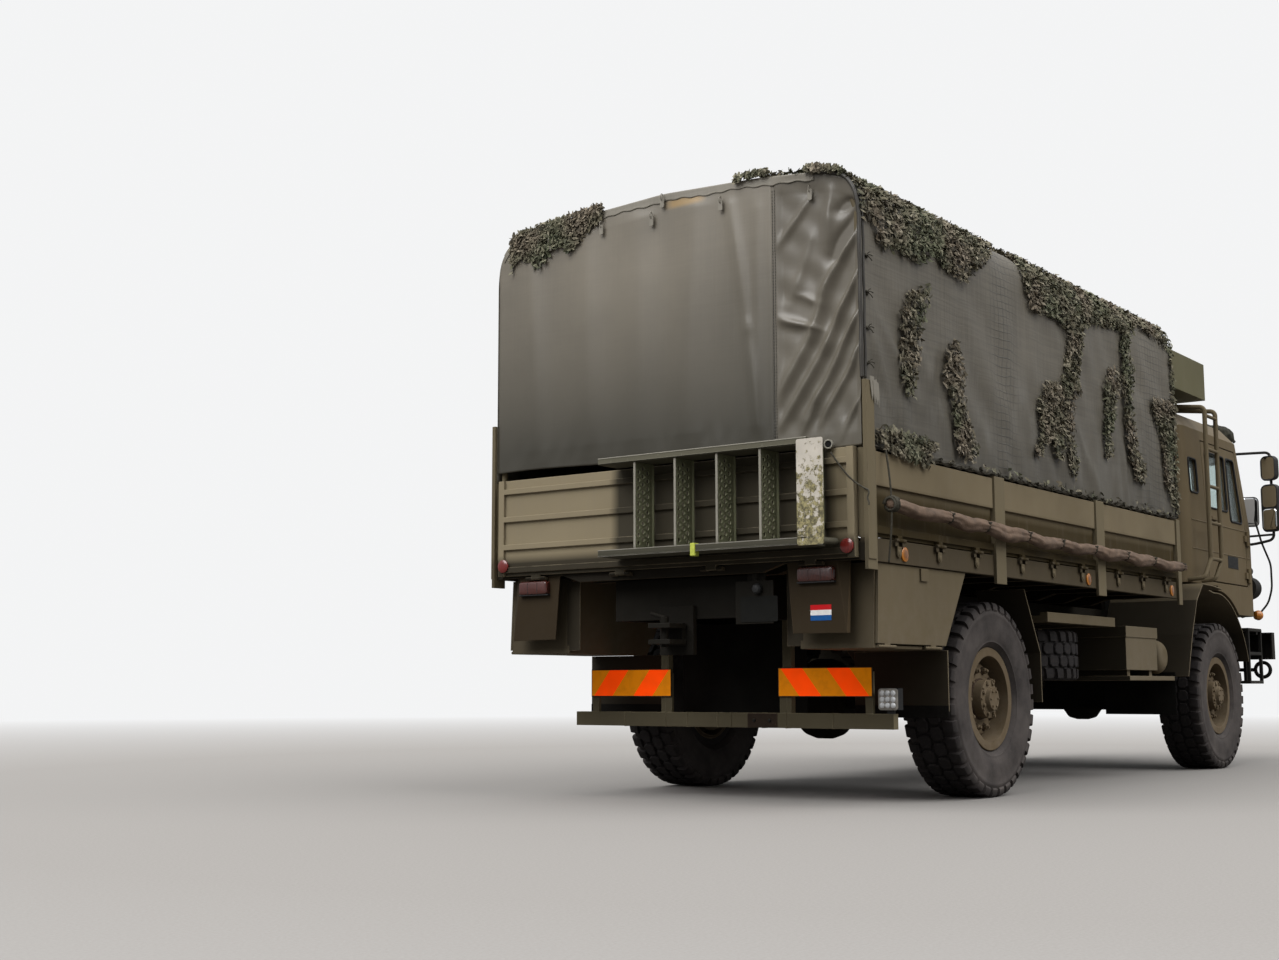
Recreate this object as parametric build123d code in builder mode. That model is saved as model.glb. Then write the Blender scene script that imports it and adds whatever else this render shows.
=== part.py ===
from build123d import *
import os
from math import asin, cos, radians, sin

# A forward-control four-wheel-drive cargo truck with a tilting cab, a drop-side load bed and a canvas cover.
# Millimetres: X forward, Y to the left, Z up. The origin is on the ground below the middle of the truck.

# Driving dimensions
wheelbase = 4050
rear_axle_x = -1775
half_track = 955
tyre_radius = 550
tyre_width = 313
bed_rear = -3409
bay_length = 1510
bay_count = 3
bed_half_width = 1212
floor_top = 1330
board_top = 1783
cover_half_width = 1205
cover_hem = 1815
cab_rear = 1575
cab_front = 3275
cab_half_width = 1120
belt_z = 1870
bumper_front = 3625
frame_top = 1200
frame_depth = 220
frame_half_width = 433
steel_sheet = 8
moving_gap = 5
seat_gap = 0.3

front_axle_x = rear_axle_x + wheelbase
axle_z = tyre_radius
bed_front = bed_rear + bay_count * bay_length
frame_bottom = frame_top - frame_depth
sides = (1, -1)
side_name = {1: "left", -1: "right"}


def block(x, y, z, mode=Mode.ADD):
    """A box from its low and high x, y and z."""
    centre = tuple((low + high) / 2 for low, high in (x, y, z))
    with Locations(centre):
        Box(x[1] - x[0], y[1] - y[0], z[1] - z[0], mode=mode)


def across(side, low, high):
    """The low and high y of a span given outwards from the middle, on one side of the truck."""
    return (low, high) if side > 0 else (-high, -low)


def side_plate(points, y, mode=Mode.ADD):
    """A plate with its outline seen from the side: points are (x, z) and y is its low and high face."""
    with BuildSketch(Plane.XZ.offset(-y[1])) as outline:
        with BuildLine():
            Polyline(*points, close=True)
        make_face()
    extrude(outline.sketch, amount=y[1] - y[0], mode=mode)


def cross_plate(points, x, mode=Mode.ADD):
    """A plate with its outline seen from the front: points are (y, z) and x is its low and high face."""
    with BuildSketch(Plane.YZ.offset(x[0])) as outline:
        with BuildLine():
            Polyline(*points, close=True)
        make_face()
    extrude(outline.sketch, amount=x[1] - x[0], mode=mode)


def rod(start, end, radius, mode=Mode.ADD):
    """A round bar between two points."""
    along = Vector(*end) - Vector(*start)
    with BuildSketch(Plane(origin=start, z_dir=along)) as section:
        Circle(radius)
    extrude(section.sketch, amount=along.length, mode=mode)


def tube(points, radius, bend, mode=Mode.ADD):
    """A round tube along straight runs joined by bends of one radius."""
    with BuildLine() as path:
        FilletPolyline(*points, radius=bend)
    with BuildSketch(Plane(origin=path.line @ 0, z_dir=path.line % 0)) as section:
        Circle(radius)
    sweep(section.sketch, path=path.line, mode=mode)


# Chassis frame: two channels, cross members, cab supports and the pins that the cab tilts on
rail_rear = -3275
rail_front = 3475
rail_flange = 75
rail_inner = frame_half_width - steel_sheet
cross_members = (-3235, -2350, -1300, 440, 1250, 3430)
cross_member_length = 70
cross_member_inset = 45
pivot_x = 3350
pivot_z = 1050
pivot_radius = 20
pivot_reach = 66
cab_floor = 1180
cab_rear_floor = 1385
support_x = (1640, 1720)

with BuildPart() as chassis_frame:
    block((rail_rear, rail_front), (rail_inner, frame_half_width), (frame_bottom, frame_top))
    for low in (frame_bottom, frame_top - steel_sheet):
        block((rail_rear, rail_front), (frame_half_width - rail_flange, frame_half_width),
              (low, low + steel_sheet))
    block(support_x, (frame_half_width - rail_flange, frame_half_width),
          (frame_top, cab_rear_floor - seat_gap))
    rod((pivot_x, rail_inner, pivot_z), (pivot_x, frame_half_width + pivot_reach, pivot_z), pivot_radius)
    rod((pivot_x, frame_half_width + pivot_reach - 12, pivot_z),
        (pivot_x, frame_half_width + pivot_reach, pivot_z), pivot_radius + 12)
    mirror(about=Plane.XZ)
    for middle in cross_members:
        block((middle - cross_member_length / 2, middle + cross_member_length / 2),
              (-rail_inner, rail_inner), (frame_bottom + cross_member_inset, frame_top - cross_member_inset))
    block((rail_rear - 20, rail_rear), (-frame_half_width, frame_half_width), (frame_bottom, frame_top))

# Engine: one plain block on four arms between the rails
engine_x = (1900, 2950)
engine_half_width = 330
engine_z = (800, 1450)
engine_arm_z = (1000, 1060)

with BuildPart() as engine_block:
    block(engine_x, (-engine_half_width, engine_half_width), engine_z)
    for middle in (engine_x[0] + 140, engine_x[1] - 140):
        block((middle - 40, middle + 40), (-rail_inner, rail_inner), engine_arm_z)

# Gearbox, transfer case and propeller shafts
gearbox_x = (1500, engine_x[0])
transfer_x = (300, 800)
transfer_z = (620, 960)
shaft_radius = 40
diff_offset = 110
front_diff_radius = 190
rear_diff_radius = 240
shaft_end_z = axle_z + 20

with BuildPart() as driveline:
    block(gearbox_x, (-180, 180), (820, 1180))
    block(transfer_x, (-230, 230), transfer_z)
    block((cross_members[3] - 30, cross_members[3] + 30), (-200, 200),
          (transfer_z[1], frame_bottom + cross_member_inset))
    rod((transfer_x[1], 0, 880), (gearbox_x[0], 0, 900), shaft_radius)
    rod((transfer_x[0], diff_offset, 720),
        (rear_axle_x + rear_diff_radius + seat_gap, diff_offset, shaft_end_z), shaft_radius)
    rod((transfer_x[1], 0, 700), (front_axle_x - front_diff_radius - seat_gap, 0, shaft_end_z), shaft_radius)

# Leaf springs: stacked leaves on one centre, eyes, hangers on the rails and plates below the axles
spring_y = (438, 508)
spring_base_z = 640
spring_curve = 1800
leaf_thickness = 12
leaf_half_lengths = (200, 290, 380, 470, 560, 650)
eye_radius = 28
hanger_top = 1060
u_bolt_x = 84
axle_plate_z = (461, 485)
spring_top_curve = spring_curve - leaf_thickness * (len(leaf_half_lengths) - 0.5)
eye_angle = asin(leaf_half_lengths[-1] / spring_top_curve)
eye_z = spring_base_z + spring_curve - spring_top_curve * cos(eye_angle)


def leaf(axle_x, half_length, outer):
    """One leaf: a band between two arcs about the spring's own centre."""
    centre_z = spring_base_z + spring_curve
    inner = outer - leaf_thickness
    angle = asin(half_length / outer)

    def at(radius, turn):
        return (axle_x + radius * sin(turn), centre_z - radius * cos(turn))

    with BuildSketch(Plane.XZ.offset(-spring_y[1])) as band:
        with BuildLine():
            ThreePointArc(at(outer, -angle), at(outer, 0), at(outer, angle))
            Line(at(outer, angle), at(inner, angle))
            ThreePointArc(at(inner, angle), at(inner, 0), at(inner, -angle))
            Line(at(inner, -angle), at(outer, -angle))
        make_face()
    extrude(band.sketch, amount=spring_y[1] - spring_y[0])


with BuildPart() as leaf_springs:
    for axle_x in (rear_axle_x, front_axle_x):
        for number, half_length in enumerate(leaf_half_lengths):
            leaf(axle_x, half_length, spring_curve - number * leaf_thickness)
        for end in (-1, 1):
            eye_x = axle_x + end * leaf_half_lengths[-1]
            rod((eye_x, spring_y[0], eye_z), (eye_x, spring_y[1], eye_z), eye_radius)
            block((eye_x - 35, eye_x + 35), (frame_half_width, spring_y[1]), (eye_z, hanger_top))
            for leg_y in (spring_y[0] + 10, spring_y[1] - 10):
                rod((axle_x + end * u_bolt_x, leg_y, axle_plate_z[0]),
                    (axle_x + end * u_bolt_x, leg_y, spring_base_z + 90), 9)
        block((axle_x - u_bolt_x - 16, axle_x + u_bolt_x + 16), spring_y, axle_plate_z)
        block((axle_x - u_bolt_x - 16, axle_x + u_bolt_x + 16), spring_y,
              (spring_base_z + 66, spring_base_z + 86))
    mirror(about=Plane.XZ)

# Axles: a tube with a round differential housing, spring seats and, in front, forks for the knuckles
axle_tube_radius = 62
seat_half_length = 62
spindle_radius = 45
spindle_end = 985
kingpin_y = 740
kingpin_radius = 25
fork_inner = 650
fork_outer = 785
fork_arms_z = ((430, 460), (640, 670))
rear_tube_end = 800


def differential(axle_x, radius, half_width):
    """A round housing about the axle line, with sloping shoulders."""
    with BuildSketch(Plane(origin=(axle_x, 0, axle_z), x_dir=(1, 0, 0), z_dir=(0, 0, 1))) as section:
        with BuildLine():
            Polyline((0, -half_width), (0.45 * radius, -half_width), (0.93 * radius, -0.55 * half_width),
                     (radius, -0.25 * half_width), (radius, 0.25 * half_width),
                     (0.93 * radius, 0.55 * half_width), (0.45 * radius, half_width), (0, half_width),
                     close=True)
        make_face()
    revolve(section.sketch, axis=Axis((axle_x, 0, axle_z), (0, 1, 0)))


def spring_seats(axle_x):
    for side in sides:
        block((axle_x - seat_half_length, axle_x + seat_half_length), across(side, *spring_y),
              (axle_plate_z[1], spring_base_z))


with BuildPart() as rear_axle:
    rod((rear_axle_x, -rear_tube_end, axle_z), (rear_axle_x, rear_tube_end, axle_z), axle_tube_radius)
    rod((rear_axle_x, -spindle_end, axle_z), (rear_axle_x, spindle_end, axle_z), spindle_radius)
    differential(rear_axle_x, rear_diff_radius, 170)
    spring_seats(rear_axle_x)

with BuildPart() as front_axle:
    rod((front_axle_x, -fork_inner, axle_z), (front_axle_x, fork_inner, axle_z), axle_tube_radius)
    differential(front_axle_x, front_diff_radius, 170)
    spring_seats(front_axle_x)
    for side in sides:
        block((front_axle_x - 50, front_axle_x + 50), across(side, fork_inner, fork_inner + 30),
              (fork_arms_z[0][0], fork_arms_z[1][1]))
        for arm_z in fork_arms_z:
            block((front_axle_x - 40, front_axle_x + 40), across(side, fork_inner, fork_outer), arm_z)
        rod((front_axle_x, side * kingpin_y, fork_arms_z[0][0]),
            (front_axle_x, side * kingpin_y, fork_arms_z[1][1]), kingpin_radius)

# Steering knuckles and the track rod behind the front axle
knuckle_radius = 45
steering_arm = 300
steering_arm_z = (470, 492)
rod_eye_z = 453
rod_eye_radius = 24
rod_pin_radius = 12
track_rod_radius = 12
backplate_y = (815, 825)
backplate_radius = 190


def knuckle(side):
    """A sleeve on the kingpin with the spindle, the brake's backplate and the steering arm."""
    middle_y = side * kingpin_y
    rod((front_axle_x, middle_y, fork_arms_z[0][1] + 1), (front_axle_x, middle_y, fork_arms_z[1][0] - 1),
        knuckle_radius)
    rod((front_axle_x, middle_y, axle_z), (front_axle_x, side * spindle_end, axle_z), spindle_radius)
    rod((front_axle_x, side * backplate_y[0], axle_z), (front_axle_x, side * backplate_y[1], axle_z),
        backplate_radius)
    block((front_axle_x - steering_arm - rod_eye_radius, front_axle_x),
          across(side, kingpin_y - 22, kingpin_y + 22), steering_arm_z)
    rod((front_axle_x - steering_arm, middle_y, rod_eye_z - rod_eye_radius),
        (front_axle_x - steering_arm, middle_y, steering_arm_z[1]), rod_pin_radius)
    rod((front_axle_x, middle_y, fork_arms_z[0][0]), (front_axle_x, middle_y, fork_arms_z[1][1]),
        kingpin_radius + seat_gap, mode=Mode.SUBTRACT)


with BuildPart() as steering_knuckle_left:
    knuckle(1)

with BuildPart() as steering_knuckle_right:
    knuckle(-1)

with BuildPart() as track_rod:
    rod_x = front_axle_x - steering_arm
    rod_eye_span = (rod_eye_z - 14, rod_eye_z + 14)
    rod((rod_x, -kingpin_y, rod_eye_z), (rod_x, kingpin_y, rod_eye_z), track_rod_radius)
    for side in sides:
        rod((rod_x, side * kingpin_y, rod_eye_span[0]), (rod_x, side * kingpin_y, rod_eye_span[1]),
            rod_eye_radius)
        rod((rod_x, side * kingpin_y, rod_eye_span[0] - 1), (rod_x, side * kingpin_y, rod_eye_span[1] + 1),
            rod_pin_radius + seat_gap, mode=Mode.SUBTRACT)

# Wheels and tyres: sections as (radius, place outboard of the wheel's middle plane)
bead_radius = 254
rim_flange_radius = 292
rim_half_width = 112
flange_thickness = 12
hub_radius = 108
drum_radius = 200
bolt_circle_radius = 167
hand_hole_circle_radius = 214
hand_hole_radius = 21
hand_hole_count = 8
tyre_half_width = tyre_width / 2
rim_section = (
    (244, -rim_half_width), (bead_radius, -rim_half_width), (rim_flange_radius - 5, -rim_half_width),
    (rim_flange_radius, -rim_half_width - 5), (rim_flange_radius - 4, -rim_half_width - flange_thickness),
    (240, -rim_half_width - flange_thickness), (240, 4), (196, 52), (120, 58), (hub_radius, 58),
    (hub_radius, 118), (70, 126), (62, 150), (0, 150), (0, spindle_end - half_track + 4),
    (spindle_radius + seat_gap, spindle_end - half_track + 4), (spindle_radius + seat_gap, -124),
    (drum_radius, -124), (drum_radius, 22), (230, -8), (230, -rim_half_width - flange_thickness + 4),
)
outer_rim_section = (
    (bead_radius, -rim_half_width), (bead_radius, rim_half_width), (rim_flange_radius - 5, rim_half_width),
    (rim_flange_radius, rim_half_width + 5), (rim_flange_radius - 4, rim_half_width + flange_thickness),
    (242, rim_half_width + flange_thickness), (238, 0), (244, -rim_half_width),
)
tyre_section = (
    (bead_radius + seat_gap, -rim_half_width + seat_gap),
    (rim_flange_radius, -rim_half_width + seat_gap), (330, -145), (400, -tyre_half_width),
    (470, -tyre_half_width + 4), (522, -142), (tyre_radius - 14, -128),
)


def turned(points, centre, outboard, mode=Mode.ADD):
    """A ring turned about a wheel's axle from its section."""
    cross_axis = Vector(1, 0, 0)
    plane = Plane(origin=centre, x_dir=cross_axis, z_dir=cross_axis.cross(Vector(*outboard)))
    with BuildSketch(plane) as section:
        with BuildLine():
            Polyline(*points, close=True)
        make_face()
    revolve(section.sketch, axis=Axis(centre, outboard), mode=mode)


def wheel(centre, outboard):
    """A disc wheel with its hub, brake drum and hand holes."""
    turned(rim_section, centre, outboard)
    turned(outer_rim_section, centre, outboard)
    face = Plane(origin=Vector(*centre) + Vector(*outboard) * 60, z_dir=outboard, x_dir=(1, 0, 0))
    with BuildSketch(face) as hand_holes:
        with PolarLocations(hand_hole_circle_radius, hand_hole_count):
            Circle(hand_hole_radius)
    extrude(hand_holes.sketch, amount=-90, mode=Mode.SUBTRACT)


def tyre(centre, outboard):
    """A plain carcass with its tread band."""
    other_half = tuple((radius, -place) for radius, place in reversed(tyre_section))
    tread = ((tyre_radius, -118), (tyre_radius, 118))
    turned(tyre_section + tread + other_half, centre, outboard)


wheel_places = {
    f"{end}_{side_name[side]}": ((axle_x, side * half_track, axle_z), (0, side, 0))
    for end, axle_x in (("front", front_axle_x), ("rear", rear_axle_x)) for side in sides
}
wheels = {}
for place, (centre, outboard) in wheel_places.items():
    with BuildPart() as road_wheel:
        wheel(centre, outboard)
    with BuildPart() as road_tyre:
        tyre(centre, outboard)
    wheels[f"wheel_{place}"] = road_wheel
    wheels[f"tyre_{place}"] = road_tyre

# Spare wheel flat below the frame, held up by a stud through its hub, under a tray
spare_centre = (-495, -500, 816)
spare_up = (0, 0, 1)
tray_x = (-995, 115)
tray_z = (1010, 1070)
tray_outer = 1110
stud_radius = 30

with BuildPart() as spare_wheel:
    wheel(spare_centre, spare_up)
    rod((spare_centre[0], spare_centre[1], 600), (spare_centre[0], spare_centre[1], 1000),
        stud_radius + seat_gap, mode=Mode.SUBTRACT)

with BuildPart() as spare_tyre:
    tyre(spare_centre, spare_up)

with BuildPart() as spare_carrier:
    block(tray_x, (-tray_outer, -tray_outer + 50), tray_z)
    for low in (tray_x[0], spare_centre[0] - 40, tray_x[1] - 80):
        block((low, low + 80), (-tray_outer, -frame_half_width), (tray_z[0], tray_z[0] + 40))
    rod((spare_centre[0], spare_centre[1], spare_centre[2] - 134),
        (spare_centre[0], spare_centre[1], tray_z[0] + 10), stud_radius)
    block((spare_centre[0] - 110, spare_centre[0] + 110), (spare_centre[1] - 60, spare_centre[1] + 60),
          (spare_centre[2] - 144, spare_centre[2] - 124 - seat_gap))

# Battery box and air tanks on a shelf on the right
shelf_x = (325, 1205)
shelf_z = (660, 690)
box_x = (325, 915)
box_z = (730, 1020)
air_tank_x = 1075
air_tank_radius = 120

with BuildPart() as battery_box:
    block(shelf_x, (-1120, -frame_half_width - 40), shelf_z)
    for low in (shelf_x[0], 900, shelf_x[1] - 60):
        block((low, low + 60), (-frame_half_width - 50, -frame_half_width), (shelf_z[0], 1100))
    for low in (box_x[0] + 60, box_x[1] - 110):
        block((low, low + 50), (-1080, -620), (shelf_z[1], box_z[0]))
    block(box_x, (-1100, -600), box_z)
    block((box_x[0] - 5, box_x[1] + 5), (-1106, -594), (950, box_z[1] + 4))

with BuildPart() as air_tanks:
    rod((air_tank_x, -1100, 825), (air_tank_x, -500, 825), air_tank_radius)
    fillet(air_tanks.edges().filter_by(GeomType.CIRCLE), 75)
    for middle in (-960, -600):
        block((air_tank_x - 40, air_tank_x + 40), (middle - 15, middle + 15), (shelf_z[1], 725))

# Fuel tank and silencer on the left
fuel_tank_x = (-250, 750)
fuel_tank_y = (490, 1100)
fuel_tank_z = (600, 960)
silencer_x = 1090
silencer_z = 850

with BuildPart() as fuel_tank:
    block(fuel_tank_x, fuel_tank_y, fuel_tank_z)
    fillet(fuel_tank.edges().filter_by(Axis.X), 60)
    block((fuel_tank_x[1] - 200, fuel_tank_x[1] - 100), (940, 1010),
          (fuel_tank_z[1] - 5, fuel_tank_z[1] + 30))
    for middle in (fuel_tank_x[0] + 180, fuel_tank_x[1] - 180):
        block((middle - 30, middle + 30), (frame_half_width, fuel_tank_y[0]), (640, 1100))
        block((middle - 30, middle + 30), (frame_half_width, 900),
              (fuel_tank_z[0] - 12, fuel_tank_z[0]))
        block((middle - 30, middle + 30), (frame_half_width, frame_half_width + 12),
              (fuel_tank_z[0] - 12, 700))

with BuildPart() as exhaust:
    rod((silencer_x, 470, silencer_z), (silencer_x, 980, silencer_z), 115)
    fillet(exhaust.edges().filter_by(GeomType.CIRCLE), 30)
    tube(((engine_x[0], 250, silencer_z), (silencer_x, 250, silencer_z),
          (silencer_x, 480, silencer_z)), 40, 100)
    rod((silencer_x, 975, silencer_z), (silencer_x, 1100, silencer_z), 40)
    block((silencer_x - 20, silencer_x + 20), (560, 600), (silencer_z + 100, 1200))

# Front mudguards: a bent sheet over each front wheel, wider behind the cab's side
guard_radius = 780
guard_centre = (front_axle_x - 15, axle_z)
guard_inner = 560
guard_outer_front = 1112
guard_outer_rear = 1215
guard_start = 20
guard_end = 95
guard_split_x = 2060


def guard_arc(angle):
    """A point of the front mudguard's round part, by its angle above the axle."""
    return (guard_centre[0] + guard_radius * cos(radians(angle)),
            guard_centre[1] + guard_radius * sin(radians(angle)))


rear_slope = ((2060, 1347), (1850, 1362), (1625, 1366), (1475, 1240), (1345, 990), (1225, 690))


def bent_sheet(points, y, arc=None):
    """A sheet along straight runs seen from the side, after the mudguard's arc between two angles if given."""
    with BuildSketch(Plane.XZ.offset(-y[1])) as band:
        with BuildLine():
            if arc:
                ThreePointArc(guard_arc(arc[0]), guard_arc(sum(arc) / 2), guard_arc(arc[1]))
                points = (guard_arc(arc[1]), *points)
            Polyline(*points)
        trace(line_width=steel_sheet)
    extrude(band.sketch, amount=y[1] - y[0])


rear_flap = ((-1330, 1194), (-1235, 1026), (-1119, 819), (-1113, 527))
rear_panel_x = (-2543, -2535)
rear_panel_z = (490, 809)
rear_panel_y = (640, 1200)
rear_flap_y = (800, 1110)
rear_flap_stay = (-1221, 1000)
guard_stays = ((1352, 1010), (2813, 1100))

with BuildPart() as mudguards:
    bent_sheet(rear_slope[:1], (guard_inner, guard_outer_front), arc=(guard_start, guard_end))
    bent_sheet(rear_slope, (guard_inner, guard_outer_rear))
    for stay_x, stay_z in guard_stays:
        rod((stay_x, frame_half_width, stay_z), (stay_x, guard_inner + 30, stay_z), 16)
    block(rear_panel_x, rear_panel_y, rear_panel_z)
    panel_stay = ((frame_half_width, 1000), (frame_half_width, 1060), (700, rear_panel_z[1]),
                  (645, rear_panel_z[1] - 60))
    cross_plate(panel_stay, (rear_panel_x[1] - 2, rear_panel_x[1] + 6))
    bent_sheet(rear_flap, rear_flap_y)
    rod((rear_flap_stay[0], frame_half_width, rear_flap_stay[1]),
        (rear_flap_stay[0], rear_flap_y[0] + 20, rear_flap_stay[1]), 14)
    mirror(about=Plane.XZ)

# Front bumper, a deep channel with tow rings, and the folding steps behind it
bumper_x = (3515, bumper_front)
bumper_half_width = 1150
bumper_z = (840, 1060)
bumper_sheet = 10
ring_centre = (3570, 1050, 755)
step_x = (3020, 3370)
step_y = (960, 1110)
step_levels = (640, 870)
step_top = 1085

with BuildPart() as front_bumper:
    block(bumper_x, (-bumper_half_width, bumper_half_width), bumper_z)
    fillet(front_bumper.edges().filter_by(Axis.Z).group_by(Axis.X)[-1], 40)
    block((bumper_x[0] - 10, bumper_x[1] - bumper_sheet),
          (-bumper_half_width + bumper_sheet, bumper_half_width - bumper_sheet),
          (bumper_z[0] + bumper_sheet, bumper_z[1] - bumper_sheet), mode=Mode.SUBTRACT)
    for side in sides:
        block((rail_front, bumper_x[1] - bumper_sheet), across(side, 362, frame_half_width),
              (frame_bottom + 10, bumper_z[1] - bumper_sheet))
        with Locations(Location((ring_centre[0], side * ring_centre[1], ring_centre[2]), (0, 90, 0))):
            Torus(60, 15)
        rod((ring_centre[0], side * (ring_centre[1] - 60), ring_centre[2]),
            (ring_centre[0], side * 760, ring_centre[2]), 15)
        rod((ring_centre[0], side * 775, ring_centre[2]), (ring_centre[0], side * 775, bumper_z[0] + 5), 15)

with BuildPart() as cab_steps:
    for low in (step_x[0], step_x[1] - 24):
        block((low, low + 24), (step_y[0], step_y[0] + 24), (step_levels[0], step_top))
        block((low, low + 24), (step_y[1] - 24, step_y[1]), (step_levels[0], step_top))
    for level in step_levels:
        block(step_x, step_y, (level, level + 24))
    block(step_x, step_y, (step_top - 24, step_top))
    block((step_x[1] - 10, bumper_x[0]), (step_y[0] + 40, step_y[1] - 40), (bumper_z[1] - 20, step_top - 4))
    mirror(about=Plane.XZ)

# Rear underrun bar with uprights, marker boards and the work lamp
underrun_x = (-2875, -2825)
underrun_half_width = 1050
underrun_z = (400, 480)
marker_y = (360, 930)
marker_z = (570, 720)
marker_sheet = 10

with BuildPart() as underrun_bar:
    block(underrun_x, (-underrun_half_width, underrun_half_width), underrun_z)
    for side in sides:
        block((underrun_x[0] + 5, underrun_x[1] - 5), across(side, 380, frame_half_width),
              (underrun_z[1], frame_bottom))
        for low in (marker_y[0], marker_y[1] - 45):
            block((underrun_x[0] + 4, underrun_x[0] + 24), across(side, low, low + 45),
                  (underrun_z[1], marker_z[1] - 20))
        for low in (45, 250, 400, 690):
            block((underrun_x[0] - 3, underrun_x[1] + 3), across(side, low - 3, low + 3),
                  (underrun_z[0] - 2, underrun_z[1] + 2))

with BuildPart() as marker_boards:
    for side in sides:
        block((underrun_x[0] - marker_sheet + 4, underrun_x[0] + 4), across(side, *marker_y), marker_z)

with BuildPart() as work_lamp:
    block((-2880, -2825), (-1080, -970), (500, 610))
    block((-2860, -2840), (-1045, -1005), (underrun_z[1] + seat_gap, 501))

# Tow coupling: a jaw behind the rear cross member
jaw_z = 900
jaw_rear = rail_rear - 20

with BuildPart() as tow_coupling:
    block((jaw_rear - 30, jaw_rear), (-110, 110), (jaw_z - 110, jaw_z + 150))
    block((jaw_rear - 60, jaw_rear - 30), (-60, 60), (jaw_z - 60, jaw_z + 60))
    for low in (jaw_z - 55, jaw_z + 30):
        block((jaw_rear - 190, jaw_rear - 40), (-70, 70), (low, low + 25))
    rod((jaw_rear - 135, 0, jaw_z - 70), (jaw_rear - 135, 0, jaw_z + 90), 20)
    rod((jaw_rear - 135, 0, jaw_z + 85), (jaw_rear - 135, 90, jaw_z + 110), 9)

# Tail lamp plates below the rear sill, with the lamps and the plain number plate holder
lamp_x = (-3403, -3397)
lamp_y = (740, 1070)
lamp_z = (880, 1240)

with BuildPart() as tail_lamps:
    block(lamp_x, lamp_y, lamp_z)
    for side_y in lamp_y:
        side_plate(((lamp_x[1], lamp_z[1]), (lamp_x[1] + 85, lamp_z[1]), (lamp_x[1] + 25, lamp_z[0]),
                    (lamp_x[1], lamp_z[0])), (side_y - 4, side_y))
    block((lamp_x[0] - 28, lamp_x[0]), (790, 1000), (1118, 1192))
    mirror(about=Plane.XZ)
    block((-3400, -3360), (-660, -430), (940, 1160))
    block((-3380, -3366), (-600, -490), (1160, 1200))

# Side lockers ahead of the rear corners, each with a drop door
locker_points = ((-3285, 1235), (-2295, 1235), (-2565, 810), (-3305, 810))
locker_inner_points = ((-3270, 1220), (-2322, 1220), (-2573, 825), (-3290, 825))
locker_y = (760, 1180)
door_points = ((-3281, 1231), (-2301, 1231), (-2556, 832), (-3300, 832))
locker_door_y = (locker_y[1] + moving_gap, locker_y[1] + moving_gap + 14)
locker_hinge_y = locker_y[1] + 14
locker_hinge_z = 818
locker_hinge_radius = 8
locker_hinge_places = (-3200, -2700)
hinge_half_length = 30


def locker_knuckles(side, own_half):
    """Hinge barrels of a locker: the door has the middle one of each set, the locker the outer two."""
    for middle in locker_hinge_places:
        spans = ((-hinge_half_length, hinge_half_length),) if own_half == "door" else (
            (-3 * hinge_half_length, -hinge_half_length - seat_gap),
            (hinge_half_length + seat_gap, 3 * hinge_half_length))
        for low, high in spans:
            rod((middle + low, side * locker_hinge_y, locker_hinge_z),
                (middle + high, side * locker_hinge_y, locker_hinge_z), locker_hinge_radius)
            if own_half == "door":
                block((middle + low, middle + high), across(side, *locker_door_y), (locker_hinge_z, 834))
            else:
                block((middle + low, middle + high), across(side, locker_y[1] - 6, locker_hinge_y),
                      (810, locker_hinge_z + 4))


with BuildPart() as side_lockers:
    for side in sides:
        side_plate(locker_points, across(side, *locker_y))
        side_plate(locker_inner_points, across(side, locker_y[0] + 15, locker_y[1] + 1), mode=Mode.SUBTRACT)
        locker_knuckles(side, "locker")

locker_doors = {}
for side in sides:
    with BuildPart() as locker_door:
        side_plate(door_points, across(side, *locker_door_y))
        locker_knuckles(side, "door")
        block((-2840, -2760), across(side, locker_door_y[1], locker_door_y[1] + 10), (1160, 1225))
    locker_doors[f"locker_door_{side_name[side]}"] = locker_door

# Cargo bed: floor on cross bearers, side rails, rear sill and headboard
bearer_z = (frame_top, 1290)
bearer_tip_z = 1240
bearer_haunch_y = 725
bearer_half_length = 1160
bearer_x = [bed_rear + 150 + number * 470 for number in range(10)]
rail_z = (1235, 1350)
rail_thickness = 37
headboard_x = (bed_front - 30, bed_front)
headboard_half_width = 1165
post_width = 130
post_skin = 18
post_bottom = 1190
board_gap = 8
board_bottom = rail_z[1] + board_gap
board_sheet_y = (1185, 1203)
board_band_y = 1220
board_hinge_y = 1230
board_hinge_z = 1350
board_hinge_radius = 9
lug_places = (240, 690, 1140)
bay_lines = [bed_rear + number * bay_length for number in range(bay_count + 1)]
post_spans = (
    (bed_rear - 25, bed_rear + 70),
    (bay_lines[1] - post_width / 2, bay_lines[1] + post_width / 2),
    (bay_lines[2] - post_width / 2, bay_lines[2] + post_width / 2),
    (bed_front - 70, bed_front),
)
bays = [(post_spans[number][1], post_spans[number + 1][0]) for number in range(bay_count)]


def board_knuckles(side, bay, own_half):
    """Hinge barrels of a side board: the board has the middle one of each set, the rail the outer two."""
    for place in lug_places:
        middle = bay[0] + place
        spans = ((-22, 22),) if own_half == "board" else ((-52, -22 - seat_gap), (22 + seat_gap, 52))
        for low, high in spans:
            rod((middle + low, side * board_hinge_y, board_hinge_z),
                (middle + high, side * board_hinge_y, board_hinge_z), board_hinge_radius)
            if own_half == "board":
                block((middle + low, middle + high), across(side, board_sheet_y[0] + 5, board_hinge_y),
                      (board_hinge_z + 2, board_bottom + 16))
            else:
                block((middle + low, middle + high), across(side, bed_half_width - 5, board_hinge_y),
                      (board_hinge_z - 30, board_hinge_z - 2))


tailgate_hinge = (bed_rear - 19, 1232)
tailgate_hinge_radius = 9
tailgate_hinge_places = (-900, -300, 300, 900)


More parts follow.
